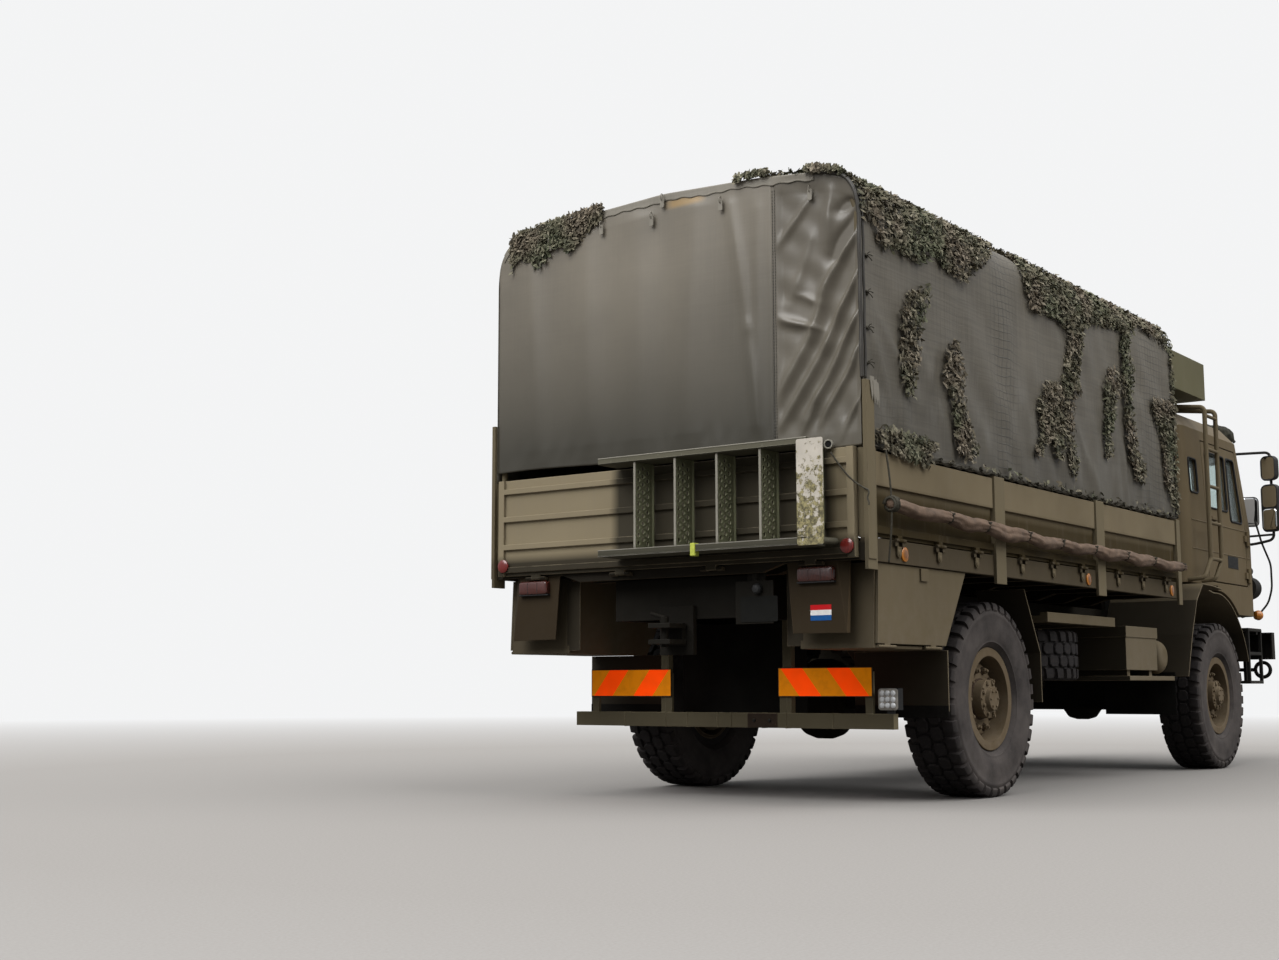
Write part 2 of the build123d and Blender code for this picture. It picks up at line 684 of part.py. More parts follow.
def tailgate_knuckles(own_half):
    """Hinge barrels of the tailgate: it has the middle one of each set, the sill the outer two."""
    for place in tailgate_hinge_places:
        spans = ((-30, 30),) if own_half == "gate" else ((-70, -30 - seat_gap), (30 + seat_gap, 70))
        for low, high in spans:
            rod((tailgate_hinge[0], place + low, tailgate_hinge[1]),
                (tailgate_hinge[0], place + high, tailgate_hinge[1]), tailgate_hinge_radius)
            if own_half == "gate":
                block((tailgate_hinge[0] - 8, tailgate_hinge[0] + 8), (place + low, place + high),
                      (tailgate_hinge[1], 1255))
            else:
                block((tailgate_hinge[0], bed_rear + 2), (place + low, place + high),
                      (tailgate_hinge[1] - 12, tailgate_hinge[1] + 4))


def tapered_beam(half_length, top):
    """A cross beam seen from the rear: deep over the rails and shallow above the lockers and wheels."""
    half = ((half_length, top), (half_length, bearer_tip_z), (bearer_haunch_y, bearer_tip_z), (600, bearer_z[0]))
    return half + tuple((-y, z) for y, z in reversed(half))


with BuildPart() as cargo_bed:
    block((bed_rear, bed_front), (-bed_half_width + rail_thickness, bed_half_width - rail_thickness),
          (bearer_z[1], floor_top))
    for low in bearer_x:
        cross_plate(tapered_beam(bearer_half_length, bearer_z[1]), (low, low + 60))
    cross_plate(tapered_beam(bed_half_width, floor_top), (bed_rear, bed_rear + 30))
    block(headboard_x, (-headboard_half_width, headboard_half_width), (floor_top - 5, 1800))
    for low in (1450, 1600, 1720):
        block((headboard_x[1] - 5, headboard_x[1] + 8), (-headboard_half_width, headboard_half_width),
              (low, low + 40))
    for side in sides:
        block((bed_rear, bed_front), across(side, bed_half_width - rail_thickness, bed_half_width), rail_z)
        for bay in bays:
            board_knuckles(side, bay, "rail")
    tailgate_knuckles("sill")

side_boards = {}


def side_board(side, bay):
    """A pressed side board with its two proud bands and its hinge barrels."""
    span = (bay[0] + board_gap, bay[1] - board_gap)
    block(span, across(side, *board_sheet_y), (board_bottom, board_top))
    block(span, across(side, board_sheet_y[0], board_band_y), (1612, board_top))
    block(span, across(side, board_sheet_y[0], board_band_y), (board_bottom + 17, 1412))
    board_knuckles(side, bay, "board")


for number, bay in enumerate(bays):
    with BuildPart() as left_board:
        side_board(1, bay)
    side_boards[f"side_board_left_{number + 1}"] = left_board

with BuildPart() as side_boards_right:
    for bay in bays:
        side_board(-1, bay)

# Posts in the bed's sides, and the tube bows that they carry
post_top = 1795
corner_post_top = 2130
corner_post_y = (bed_half_width, bed_half_width + 23)
cover_sheet = 10
bow_radius = 17
bow_bend = 70
bow_x = (bed_rear + 24, bay_lines[1], bay_lines[2], bed_front - 50)
cover_rear = bed_rear - 11
cover_front = bed_front + 20
eave_z = 3020
cover_profile = ((cover_half_width, eave_z), (1150, 3200), (620, 3270), (0, 3300))


def inset_profile(inset):
    """The cover's outline drawn in: sides by inset, the roof by inset, as half of it from eave to ridge."""
    return [(max(y - inset, 0), z - inset * (1.03 if number else 0.55))
            for number, (y, z) in enumerate(cover_profile)]


def cover_outline(inset, bottom):
    """The whole outline of the cover seen from the rear, from hem to hem."""
    half = inset_profile(inset)
    left = [(half[0][0], bottom)] + half
    right = [(-y, z) for y, z in reversed(left[:-1])]
    return left + right


bow_inset = cover_sheet + seat_gap + bow_radius

with BuildPart() as posts_and_bows:
    for side in sides:
        for number, span in enumerate(post_spans):
            block(span, across(side, bed_half_width, bed_half_width + post_skin), (post_bottom, post_top))
            if number:
                block(span, across(side, board_sheet_y[0] - 20, bed_half_width), (rail_z[1], post_top))
        block((bed_rear, post_spans[0][1]), across(side, board_sheet_y[0] - 20, bed_half_width),
              (rail_z[1], post_top))
        block((bed_rear - 25, bed_rear + 55), across(side, *corner_post_y), (1240, corner_post_top))
    for place in bow_x:
        half = inset_profile(bow_inset)
        points = [(place, y, z) for y, z in cover_outline(bow_inset, post_top - 20)]
        tube([point for point in points if point[1] or point[2] > 2000], bow_radius, bow_bend)
    for y, z in half[2:]:
        for side in sides if y else (1,):
            rod((bow_x[0], side * y, z - 4), (bow_x[-1], side * y, z - 4), bow_radius - 5)

# The canvas cover, the net over its edges and the rolled cover tied along the right side
with BuildPart() as canopy:
    cross_plate(cover_outline(0, cover_hem), (cover_rear, cover_front))
    cross_plate(cover_outline(cover_sheet, cover_hem - 10),
                (cover_rear + cover_sheet, cover_front - cover_sheet), mode=Mode.SUBTRACT)

net_thickness = 24
# Net patches on the right: x and z of their outlines seen from the side
net_patches = (
    ((-3415, 3260), (-3415, 2640), (-2960, 2660), (-2560, 2950), (-2220, 2800), (-1975, 3130),
     (-1975, 3260)),
    ((-1515, 3260), (-1515, 3130), (-1365, 2830), (-600, 2890), (1100, 3040), (1100, 3260)),
    ((-2790, 2730), (-3080, 2450), (-3060, 2060), (-2900, 2110), (-2870, 2450), (-2640, 2700)),
    ((-2440, 2500), (-2400, 2170), (-2270, 1850), (-2090, 1850), (-2160, 2300), (-2260, 2520)),
    ((-1390, 2400), (-1360, 1950), (-1080, 1960), (-900, 1860), (-700, 1890), (-600, 2850),
     (-880, 2830), (-1000, 2400)),
    ((-180, 2700), (-200, 2130), (-60, 2130), (40, 2700)),
    ((60, 3000), (130, 2200), (200, 1990), (420, 2010), (330, 2500), (300, 3000)),
    ((700, 2650), (680, 1860), (1080, 1860), (1100, 2720)),
    ((-3340, 1890), (-3250, 1830), (-2480, 1840), (-2560, 1960), (-3000, 2010)),
)

with BuildPart() as net_layer:
    cross_plate(cover_outline(-net_thickness, cover_hem), (cover_rear + 4, cover_front))
    cross_plate(cover_outline(-seat_gap, cover_hem - 1), (cover_rear, cover_front + 1), mode=Mode.SUBTRACT)

with BuildPart() as net_mask:
    for patch in net_patches:
        side_plate(patch, (-1300, -950))
    block((cover_rear + 4, cover_rear + 260), (400, 1300), (2990, 3360))

with BuildPart() as camouflage_net:
    add(net_layer.part)
    add(net_mask.part, mode=Mode.INTERSECT)

roll_radius = 43
roll_y = -(bed_half_width + post_skin + seat_gap + roll_radius)
roll_points = ((-3290, roll_y, 1520), (-2300, roll_y, 1494), (-1300, roll_y, 1466), (0, roll_y, 1462),
               (1050, roll_y, 1450))

with BuildPart() as cover_roll:
    tube(roll_points, roll_radius, 400)

# Tailgate, with the boarding steps stowed on it
gate_x = (bed_rear - 33, bed_rear - 3)
gate_half_width = 1165
gate_z = (1250, 1800)
gate_rib_z = (1270, 1400, 1560, 1720)
gate_back = gate_x[0] - 10
steps_depth = 173
steps_x = (gate_back - steps_depth, gate_back)
steps_y = (-1070, 300)
stringer_z = ((1310, 1345), (1805, 1840))
tread_places = (-910, -675, -440, -190, 60)
tread_sheet = 5

with BuildPart() as tailgate:
    block((gate_x[0] + 6, gate_x[1]), (-gate_half_width, gate_half_width), gate_z)
    for low in gate_rib_z:
        block((gate_back, gate_x[0] + 8), (-gate_half_width, gate_half_width), (low, low + 30))
    for side in sides:
        block((gate_back, gate_x[0] + 8), across(side, gate_half_width - 40, gate_half_width), gate_z)
    tailgate_knuckles("gate")

with BuildPart() as boarding_steps:
    for low, high in stringer_z:
        block(steps_x, steps_y, (low, low + 6))
        block(steps_x, steps_y, (high - 6, high))
        block((steps_x[1] - 6, steps_x[1]), steps_y, (low, high))
    for place in tread_places:
        block((steps_x[0] + 8, steps_x[1] - 4), (place, place + tread_sheet),
              (stringer_z[0][1] - 6, stringer_z[1][0] + 6))
    block((steps_x[0], steps_x[0] + 4), (steps_y[0], -920), (stringer_z[0][0], stringer_z[1][1]))
    block((steps_x[0], steps_x[1]), (steps_y[0], steps_y[0] + 5), (stringer_z[0][0], stringer_z[1][1]))

# Cab: sections of its outer form as (height, rear x, front x, half width, corner radius)
cab_wall = 45
cab_floor_thickness = 30
roof_edge_z = 2570
cab_sections = (
    (cab_floor, cab_rear, cab_front, cab_half_width, 140),
    (belt_z, cab_rear, cab_front, cab_half_width, 140),
    (roof_edge_z, cab_rear + 15, cab_front - 200, cab_half_width - 30, 140),
    (2680, cab_rear + 70, cab_front - 290, cab_half_width - 115, 140),
    (2750, cab_rear + 330, cab_front - 560, cab_half_width - 470, 140),
)
tunnel_half_width = 400
tunnel_top = 1500
tunnel_front = 2980
rail_passage_half_width = 510
rail_passage_top = 1215
arch_radius = 800
arch_inner = 500
rear_step_x = 2275


def cab_form(inset, mode=Mode.ADD):
    """The cab's outer form drawn in by inset on every side."""
    layers = []
    for number, (height, rear, front, half_width, corner) in enumerate(cab_sections):
        if number == 0:
            height += inset
        if number >= 3:
            height -= inset
        with BuildSketch(Plane.XY.offset(height)) as layer:
            with Locations(((rear + front) / 2, 0)):
                RectangleRounded(front - rear - 2 * inset, 2 * (half_width - inset), corner - inset)
        layers.append(layer.sketch)
    loft(layers, ruled=True, mode=mode)


def underside(grow):
    """What the cab leaves free for the engine, the rails and the wheels, grown by a floor's thickness."""
    block((cab_rear - 50, tunnel_front + grow), (-tunnel_half_width - grow, tunnel_half_width + grow),
          (cab_floor - 50, tunnel_top + grow), mode=Mode.SUBTRACT)
    block((cab_rear - 50, cab_front + 50),
          (-rail_passage_half_width - grow, rail_passage_half_width + grow),
          (cab_floor - 50, rail_passage_top + grow), mode=Mode.SUBTRACT)
    block((cab_rear - 50, rear_step_x + grow), (-cab_half_width - 50, cab_half_width + 50),
          (cab_floor - 50, cab_rear_floor + grow), mode=Mode.SUBTRACT)
    for side in sides:
        rod((front_axle_x, side * (arch_inner - grow), axle_z),
            (front_axle_x, side * (cab_half_width + 50), axle_z), arch_radius + grow, mode=Mode.SUBTRACT)


with BuildPart() as cab_room:
    cab_form(cab_wall)
    underside(cab_floor_thickness)

# Doors and windows, seen from the side as (x, z)
door_front_x = 3025
door_rear_x = 2085
door_base_z = 1420
door_head_z = 2490
door_lean_x = 2905
door_gap = 10
door_inner_y = 1000
door_outline = ((door_rear_x, door_base_z), (door_front_x, door_base_z), (door_front_x, belt_z + 20),
                (door_lean_x, door_head_z), (door_rear_x, door_head_z))
door_opening = ((door_rear_x - door_gap, door_base_z - door_gap),
                (door_front_x + door_gap, door_base_z - door_gap), (door_front_x + door_gap, belt_z + 22),
                (door_lean_x + door_gap, door_head_z + door_gap),
                (door_rear_x - door_gap, door_head_z + door_gap))
main_window = ((2150, 1985), (2610, 1985), (2610, 2420), (2150, 2420))
quarter_window = ((2665, 1915), (2955, 1915), (2855, 2420), (2665, 2420))
rear_slot_window = ((1745, 2070), (1925, 2070), (1925, 2330), (1745, 2330))
windscreen_y = 930
windscreen_z = (1990, 2440)
windscreen_post = 30
back_window_y = 520
back_window_z = (2000, 2350)
glass_inset = 20
glass_thickness = 6
far_out = 1300


def shrunk(points, gap):
    """An outline with every point pulled towards its middle by gap along X and Z."""
    middle_x = (min(x for x, z in points) + max(x for x, z in points)) / 2
    middle_z = (min(z for x, z in points) + max(z for x, z in points)) / 2
    return [(x - gap if x > middle_x else x + gap, z - gap if z > middle_z else z + gap) for x, z in points]


def front_windows(gap, mode):
    """The windscreen's two halves and the back window, smaller by gap all round."""
    for side in sides:
        block((cab_front - 350, cab_front + 50), across(side, windscreen_post + gap, windscreen_y - gap),
              (windscreen_z[0] + gap, windscreen_z[1] - gap), mode=mode)
    block((cab_rear - 50, cab_rear + 100), (-back_window_y + gap, back_window_y - gap),
          (back_window_z[0] + gap, back_window_z[1] - gap), mode=mode)


hinge_y = cab_half_width + 15
hinge_x = door_front_x + door_gap / 2
hinge_radius = 11
hinge_levels = (1500, 1800)


def door_knuckles(side, own_half):
    """Door hinges: the door has the middle barrel of each, the cab the outer two."""
    for level in hinge_levels:
        spans = ((-25, 25),) if own_half == "door" else ((-60, -25 - seat_gap), (25 + seat_gap, 60))
        for low, high in spans:
            rod((hinge_x, side * hinge_y, level + low), (hinge_x, side * hinge_y, level + high), hinge_radius)
            x = (hinge_x - 60, hinge_x) if own_half == "door" else (hinge_x, hinge_x + 60)
            block(x, across(side, cab_half_width - 2, hinge_y), (level + low, level + high))
            block((hinge_x - 5, hinge_x + 5), across(side, cab_half_width - 20, cab_half_width + 1),
                  (level + low, level + high), mode=Mode.SUBTRACT)


drip_rail_z = 2520
grille_z = (1330, 1700)
grille_half_width = 640
grille_slot_count = 6

with BuildPart() as cab_shell:
    cab_form(0)
    underside(0)
    add(cab_room.part, mode=Mode.SUBTRACT)
    front_windows(0, Mode.SUBTRACT)
    for side in sides:
        side_plate(door_opening, across(side, door_inner_y, far_out), mode=Mode.SUBTRACT)
        side_plate(rear_slot_window, across(side, door_inner_y, far_out), mode=Mode.SUBTRACT)
        side_plate(((pivot_x - 40, pivot_z - 35), (pivot_x + 40, pivot_z - 35), (pivot_x + 40, pivot_z + 35),
                    (3265, 1240), (3130, 1240)), across(side, 445, 485))
        rod((pivot_x, side * 440, pivot_z), (pivot_x, side * 490, pivot_z), pivot_radius + seat_gap,
            mode=Mode.SUBTRACT)
        door_knuckles(side, "cab")
    for number in range(grille_slot_count):
        low = grille_z[0] + number * (grille_z[1] - grille_z[0]) / grille_slot_count
        block((cab_front - 12, cab_front + 10), (-grille_half_width, grille_half_width), (low, low + 34),
              mode=Mode.SUBTRACT)

with BuildPart() as pane_layer:
    cab_form(glass_inset)
    cab_form(glass_inset + glass_thickness, mode=Mode.SUBTRACT)

with BuildPart() as pane_mask:
    front_windows(seat_gap, Mode.ADD)
    for side in sides:
        side_plate(shrunk(rear_slot_window, seat_gap), across(side, door_inner_y, far_out))

with BuildPart() as cab_glass:
    add(pane_layer.part)
    add(pane_mask.part, mode=Mode.INTERSECT)

doors = {}
for side in sides:
    with BuildPart() as door_mask:
        side_plate(door_outline, across(side, door_inner_y, far_out))
        for window in (main_window, quarter_window):
            side_plate(window, across(side, door_inner_y, far_out), mode=Mode.SUBTRACT)
    with BuildPart() as door:
        cab_form(0)
        cab_form(cab_wall, mode=Mode.SUBTRACT)
        add(door_mask.part, mode=Mode.INTERSECT)
        door_knuckles(side, "door")
        block((door_rear_x + 60, door_rear_x + 200), across(side, cab_half_width - 2, cab_half_width + 22),
              (1890, 1915))
    with BuildPart() as door_pane_mask:
        for window in (main_window, quarter_window):
            side_plate(shrunk(window, seat_gap), across(side, door_inner_y, far_out))
    with BuildPart() as door_glass:
        add(pane_layer.part)
        add(door_pane_mask.part, mode=Mode.INTERSECT)
    doors[f"door_{side_name[side]}"] = door
    doors[f"door_glass_{side_name[side]}"] = door_glass

# Inside the cab: two seats, the dashboard and the steering wheel
rear_room_floor = cab_rear_floor + cab_floor_thickness
seat_x = (1760, 2260)
seat_y = (490, 1020)
dash_x = (2960, 3200)
dash_z = (1560, 1900)
wheel_centre = (2700, 700, 1800)
steering_wheel_radius = 225
column_radius = 24
column_lean = 30
column_length = ((wheel_centre[2] - cab_floor - cab_wall - seat_gap
                  - column_radius * sin(radians(column_lean))) / cos(radians(column_lean)))

with BuildPart() as seats:
    for side in sides:
        block((seat_x[0] + 60, seat_x[1] - 60), across(side, seat_y[0] + 80, seat_y[1] - 80),
              (rear_room_floor, 1560))
        block(seat_x, across(side, *seat_y), (1560, 1680))
        side_plate(((1760, 1675), (1900, 1675), (1800, 2260), (1700, 2260)),
                   across(side, seat_y[0] + 20, seat_y[1] - 20))
    fillet(seats.edges().filter_by(Axis.Y).group_by(Axis.Z)[-1], 30)

with BuildPart() as dashboard:
    side_plate(((dash_x[0], dash_z[0]), (dash_x[1], dash_z[0] - 40), (dash_x[1], dash_z[1]),
                (dash_x[0] + 60, dash_z[1])), (-1030, 1030))
    for side in sides:
        block((3180, cab_front - cab_wall - seat_gap), across(side, 600, 900), (1600, 1700))

with BuildPart() as steering_wheel:
    rim_plane = Plane(origin=wheel_centre, x_dir=(0, 1, 0),
                      z_dir=(-sin(radians(column_lean)), 0, cos(radians(column_lean))))
    with Locations(rim_plane.location):
        Torus(steering_wheel_radius, 14)
    with BuildSketch(rim_plane.offset(-8)) as spokes:
        Circle(50)
        with PolarLocations(steering_wheel_radius / 2, 3):
            Rectangle(steering_wheel_radius, 30)
    extrude(amount=16)
    with BuildSketch(rim_plane.offset(-column_length)) as column:
        Circle(column_radius)
    extrude(amount=column_length)

# Mirrors, lamps, ladder and roof box, which all tilt with the cab
mirror_y = cab_half_width + 180
mirror_setback = 85
# Mirror heads: half width, and lowest and highest level
mirror_heads = ((78, (1862, 2246)), (70, (2280, 2480)))
mirror_arm_radius = 11


def mirror_set(side):
    """Two heads on one bent tube between the roof edge and the belt."""
    stem_x = cab_front - mirror_setback
    tube(((stem_x - 150, side * (mirror_y - 240), 2500), (stem_x - 30, side * (mirror_y - 100), 2512),
          (stem_x, side * mirror_y, 2512), (stem_x, side * mirror_y, 1800),
          (stem_x, side * (mirror_y - 120), 1770), (stem_x - 20, side * (cab_half_width + seat_gap), 1760)),
         mirror_arm_radius, 30)
    for half_width, levels in mirror_heads:
        block((stem_x - 40, stem_x + 15), across(side, mirror_y - half_width, mirror_y + half_width), levels)


with BuildPart() as mirrors:
    for side in sides:
        mirror_set(side)
    cab_form(-seat_gap, mode=Mode.SUBTRACT)

lamp_centre_y = 1035
with BuildPart() as front_lamps:
    for side in sides:
        rod((cab_front - 40, side * lamp_centre_y, 1420), (cab_front + 110, side * lamp_centre_y, 1420), 92)
        rod((cab_front - 40, side * lamp_centre_y, 1560), (cab_front + 80, side * lamp_centre_y, 1560), 38)
        rod((cab_front - 40, side * 1040, 1225), (cab_front + 45, side * 1040, 1225), 34)
        tube(((cab_front - 30, side * 1000, 1650), (cab_front + 125, side * 1010, 1620),
              (cab_front + 190, side * 1030, 1500), (cab_front + 165, side * 1030, 1350),
              (cab_front + 65, side * 1020, 1200), (cab_front - 30, side * 1000, 1185)), 12, 40)
    cab_form(-seat_gap, mode=Mode.SUBTRACT)

ladder_y = -1235
ladder_radius = 17
ladder_x = (1775, 2025)
rung_levels = (1560, 1830, 2105, 2385, 2640)

with BuildPart() as cab_ladder:
    for place in ladder_x:
        tube(((place - 120, -1100, 1405), (place - 105, -1215, 1415), (place, ladder_y, 1560),
              (place, ladder_y, 2700), (place, -900, 2740), (place, -820, 2600)), ladder_radius, 40)
    for level in rung_levels:
        rod((ladder_x[0], ladder_y, level), (ladder_x[1], ladder_y, level), ladder_radius - 4)
    cab_form(-seat_gap, mode=Mode.SUBTRACT)

roof_box_x = (1230, 2075)
roof_box_half_width = 1150
roof_box_z = (2800, 3080)
roof_box_sheet = 12

with BuildPart() as roof_box:
    block(roof_box_x, (-roof_box_half_width, roof_box_half_width), roof_box_z)
    block((roof_box_x[0] + roof_box_sheet, roof_box_x[1] - roof_box_sheet),
          (-roof_box_half_width + roof_box_sheet, roof_box_half_width - roof_box_sheet),
          (roof_box_z[0] + roof_box_sheet, roof_box_z[1] - roof_box_sheet), mode=Mode.SUBTRACT)
    for side in sides:
        block((roof_box_x[0] + 30, roof_box_x[1] - 20), across(side, 680, 720),
              (roof_box_z[0] - 40, roof_box_z[0]))
        for low in (1700, 1980):
            block((low, low + 50), across(side, 680, 720), (2600, roof_box_z[0] - 10))
    cab_form(-seat_gap, mode=Mode.SUBTRACT)

pieces = {
    "chassis_frame": chassis_frame, "engine_block": engine_block, "driveline": driveline,
    "leaf_springs": leaf_springs, "rear_axle": rear_axle, "front_axle": front_axle,
    "steering_knuckle_left": steering_knuckle_left, "steering_knuckle_right": steering_knuckle_right,
    "track_rod": track_rod, **wheels, "spare_wheel": spare_wheel, "spare_tyre": spare_tyre,
    "spare_carrier": spare_carrier, "battery_box": battery_box, "air_tanks": air_tanks,
    "fuel_tank": fuel_tank, "exhaust": exhaust, "mudguards": mudguards, "front_bumper": front_bumper,
    "cab_steps": cab_steps, "underrun_bar": underrun_bar, "marker_boards": marker_boards,
    "work_lamp": work_lamp, "tow_coupling": tow_coupling, "tail_lamps": tail_lamps,
    "side_lockers": side_lockers, **locker_doors, "cargo_bed": cargo_bed, **side_boards,
    "side_boards_right": side_boards_right, "posts_and_bows": posts_and_bows, "canopy": canopy,
    "camouflage_net": camouflage_net, "cover_roll": cover_roll, "tailgate": tailgate,
    "boarding_steps": boarding_steps, "cab_shell": cab_shell, "cab_glass": cab_glass, **doors,
    "seats": seats, "dashboard": dashboard, "steering_wheel": steering_wheel, "mirrors": mirrors,
    "front_lamps": front_lamps, "cab_ladder": cab_ladder, "roof_box": roof_box,
}
os.makedirs("parts", exist_ok=True)
for name, piece in pieces.items():
    piece.part.label = name
    export_step(piece.part, f"parts/{name}.step")
print(len(pieces), "pieces")
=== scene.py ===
# %% [markdown]
# # A military cargo truck
#
# The truck's steel comes from a CAD model that is already packed in metres, with X forward, Y to the left
# and Z up. This lesson dresses it: canvas, scrim net, rubber, ropes, lamps and worn paint. Nothing here
# moves a CAD part. Each new piece is worked out in the same frame, so it lands where it belongs, and it
# rides on the CAD body that carries it.

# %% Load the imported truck
import bmesh
import bpy
import numpy as np
from mathutils import Matrix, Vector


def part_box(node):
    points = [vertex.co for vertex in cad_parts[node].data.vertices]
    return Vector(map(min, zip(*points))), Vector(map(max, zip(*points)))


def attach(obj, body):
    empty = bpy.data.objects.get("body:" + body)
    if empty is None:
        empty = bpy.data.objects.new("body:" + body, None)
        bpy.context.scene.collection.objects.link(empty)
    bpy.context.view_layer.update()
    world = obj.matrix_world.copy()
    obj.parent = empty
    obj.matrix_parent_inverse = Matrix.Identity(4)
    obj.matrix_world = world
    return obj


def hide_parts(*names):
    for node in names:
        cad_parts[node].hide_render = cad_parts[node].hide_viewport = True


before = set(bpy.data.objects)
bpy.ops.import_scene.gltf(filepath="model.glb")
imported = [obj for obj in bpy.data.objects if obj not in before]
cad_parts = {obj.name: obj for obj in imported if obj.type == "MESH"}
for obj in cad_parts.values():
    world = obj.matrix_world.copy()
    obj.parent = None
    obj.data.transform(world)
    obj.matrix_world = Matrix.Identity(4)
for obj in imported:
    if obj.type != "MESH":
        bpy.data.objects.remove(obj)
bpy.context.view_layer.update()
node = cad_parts

# %% [markdown]
# ## The camera
#
# The photograph was taken from low down, behind the truck's right rear corner, looking slightly upwards. A
# camera is set by three directions: where it looks, its right and its up. They follow from a yaw, a pitch
# and a small roll, and they are the columns of its rotation matrix.

# %% Place the camera
eye = np.array((-10.4697, -5.1093, 0.6153))
yaw, pitch, roll = np.radians((36.8484, 7.2509, -0.129))
look = np.array((np.cos(pitch) * np.cos(yaw), np.cos(pitch) * np.sin(yaw), np.sin(pitch)))
level_right = np.array((np.sin(yaw), -np.cos(yaw), 0))
level_up = np.cross(level_right, look)
right = np.cos(roll) * level_right + np.sin(roll) * level_up
up = np.cos(roll) * level_up - np.sin(roll) * level_right
camera = bpy.data.objects.new("camera", bpy.data.cameras.new("camera"))
bpy.context.scene.collection.objects.link(camera)
camera.data.sensor_fit = "HORIZONTAL"
camera.data.sensor_width = 36
camera.data.lens = 46.04
camera.data.clip_end = 900
turn = np.eye(4)
turn[:3, :4] = np.column_stack((right, up, -look, eye))
camera.matrix_world = Matrix(turn.tolist())
bpy.context.scene.camera = camera
bpy.context.scene.view_settings.view_transform = "Standard"

# %% [markdown]
# ## Helpers for materials
#
# Every finish is a small tree of nodes: grain from noise, numbers carried from one range to another, and
# colours blended by them. These helpers make one node each, so a finish below reads as a list of what the
# real surface shows. All patterns hang on the piece's own coordinates, so they look the same from every
# side.

# %% Helpers for node trees
def new_material(name):
    """An empty material with its shader, and the piece's own coordinates to hang patterns on."""
    made = bpy.data.materials.new(name)
    made.use_nodes = True
    tree = made.node_tree
    tree.nodes.clear()
    shader = tree.nodes.new("ShaderNodeBsdfPrincipled")
    output = tree.nodes.new("ShaderNodeOutputMaterial")
    tree.links.new(shader.outputs[0], output.inputs["Surface"])
    place = tree.nodes.new("ShaderNodeTexCoord").outputs["Object"]
    return made, tree, shader, place


def settings(shader, values):
    """Plain values for a shader's inputs, by name."""
    for name, value in values.items():
        shader.inputs[name].default_value = value


def stretched(tree, place, scale):
    """Coordinates multiplied along each axis, which draws a pattern out along the axis with the small
    number."""
    mapping = tree.nodes.new("ShaderNodeMapping")
    mapping.inputs["Scale"].default_value = scale
    tree.links.new(place, mapping.inputs["Vector"])
    return mapping.outputs["Vector"]


def noise(tree, place, scale, detail=3.0, roughness=0.5):
    """Soft random grain between 0 and 1."""
    made = tree.nodes.new("ShaderNodeTexNoise")
    made.inputs["Scale"].default_value = scale
    made.inputs["Detail"].default_value = detail
    made.inputs["Roughness"].default_value = roughness
    tree.links.new(place, made.inputs["Vector"])
    return made.outputs["Fac"]


def spread(tree, value, low, high, to_low=0.0, to_high=1.0):
    """A value carried from one range to another and held at its ends."""
    made = tree.nodes.new("ShaderNodeMapRange")
    for socket, number in zip(("From Min", "From Max", "To Min", "To Max"), (low, high, to_low, to_high)):
        made.inputs[socket].default_value = number
    tree.links.new(value, made.inputs["Value"])
    return made.outputs["Result"]


def maths(tree, kind, first, second=0.0):
    """One sum, product or comparison of two values."""
    made = tree.nodes.new("ShaderNodeMath")
    made.operation = kind
    for socket, value in zip(made.inputs, (first, second)):
        if isinstance(value, (int, float)):
            socket.default_value = value
        else:
            tree.links.new(value, socket)
    return made.outputs[0]


def blended(tree, share, first, second):
    """Two colours mixed by a share from 0 to 1."""
    made = tree.nodes.new("ShaderNodeMix")
    made.data_type = "RGBA"
    if isinstance(share, (int, float)):
        made.inputs[0].default_value = share
    else:
        tree.links.new(share, made.inputs[0])
    for socket, colour in ((made.inputs[6], first), (made.inputs[7], second)):
        if isinstance(colour, tuple):
            socket.default_value = (*colour, 1)
        else:
            tree.links.new(colour, socket)
    return made.outputs[2]


def part_of(tree, place, axis):
    """One coordinate of a place, 0 for X, 1 for Y, 2 for Z."""
    made = tree.nodes.new("ShaderNodeSeparateXYZ")
    tree.links.new(place, made.inputs[0])
    return made.outputs[axis]


def hump(tree, value, low, high, edge):
    """1 between two levels and 0 outside them, with soft edges."""
    rise = spread(tree, value, low - edge, low + edge)
    fall = spread(tree, value, high + edge, high - edge)
    return maths(tree, "MULTIPLY", rise, fall)


def raise_by(tree, shader, height, distance, strength=1.0, normal=None):
    """Fine relief: the height moves the shading normal by up to the distance in metres."""
    made = tree.nodes.new("ShaderNodeBump")
    made.inputs["Distance"].default_value = distance
    made.inputs["Strength"].default_value = strength
    tree.links.new(height, made.inputs["Height"])
    if normal is not None:
        tree.links.new(normal, made.inputs["Normal"])
    tree.links.new(made.outputs[0], shader.inputs["Normal"])
    return made.outputs[0]


# %% [markdown]
# ## Light and floor
#
# An overcast sky is brightest overhead and weakest at the horizon, where trees and buildings stand. That
# keeps the truck's underside dark. Two very wide suns add what the photograph shows: the rear is lit a
# little more than the side. The floor looks pale to the camera and fades into the backdrop, but it returns
# less light to the truck, as the tarmac did.

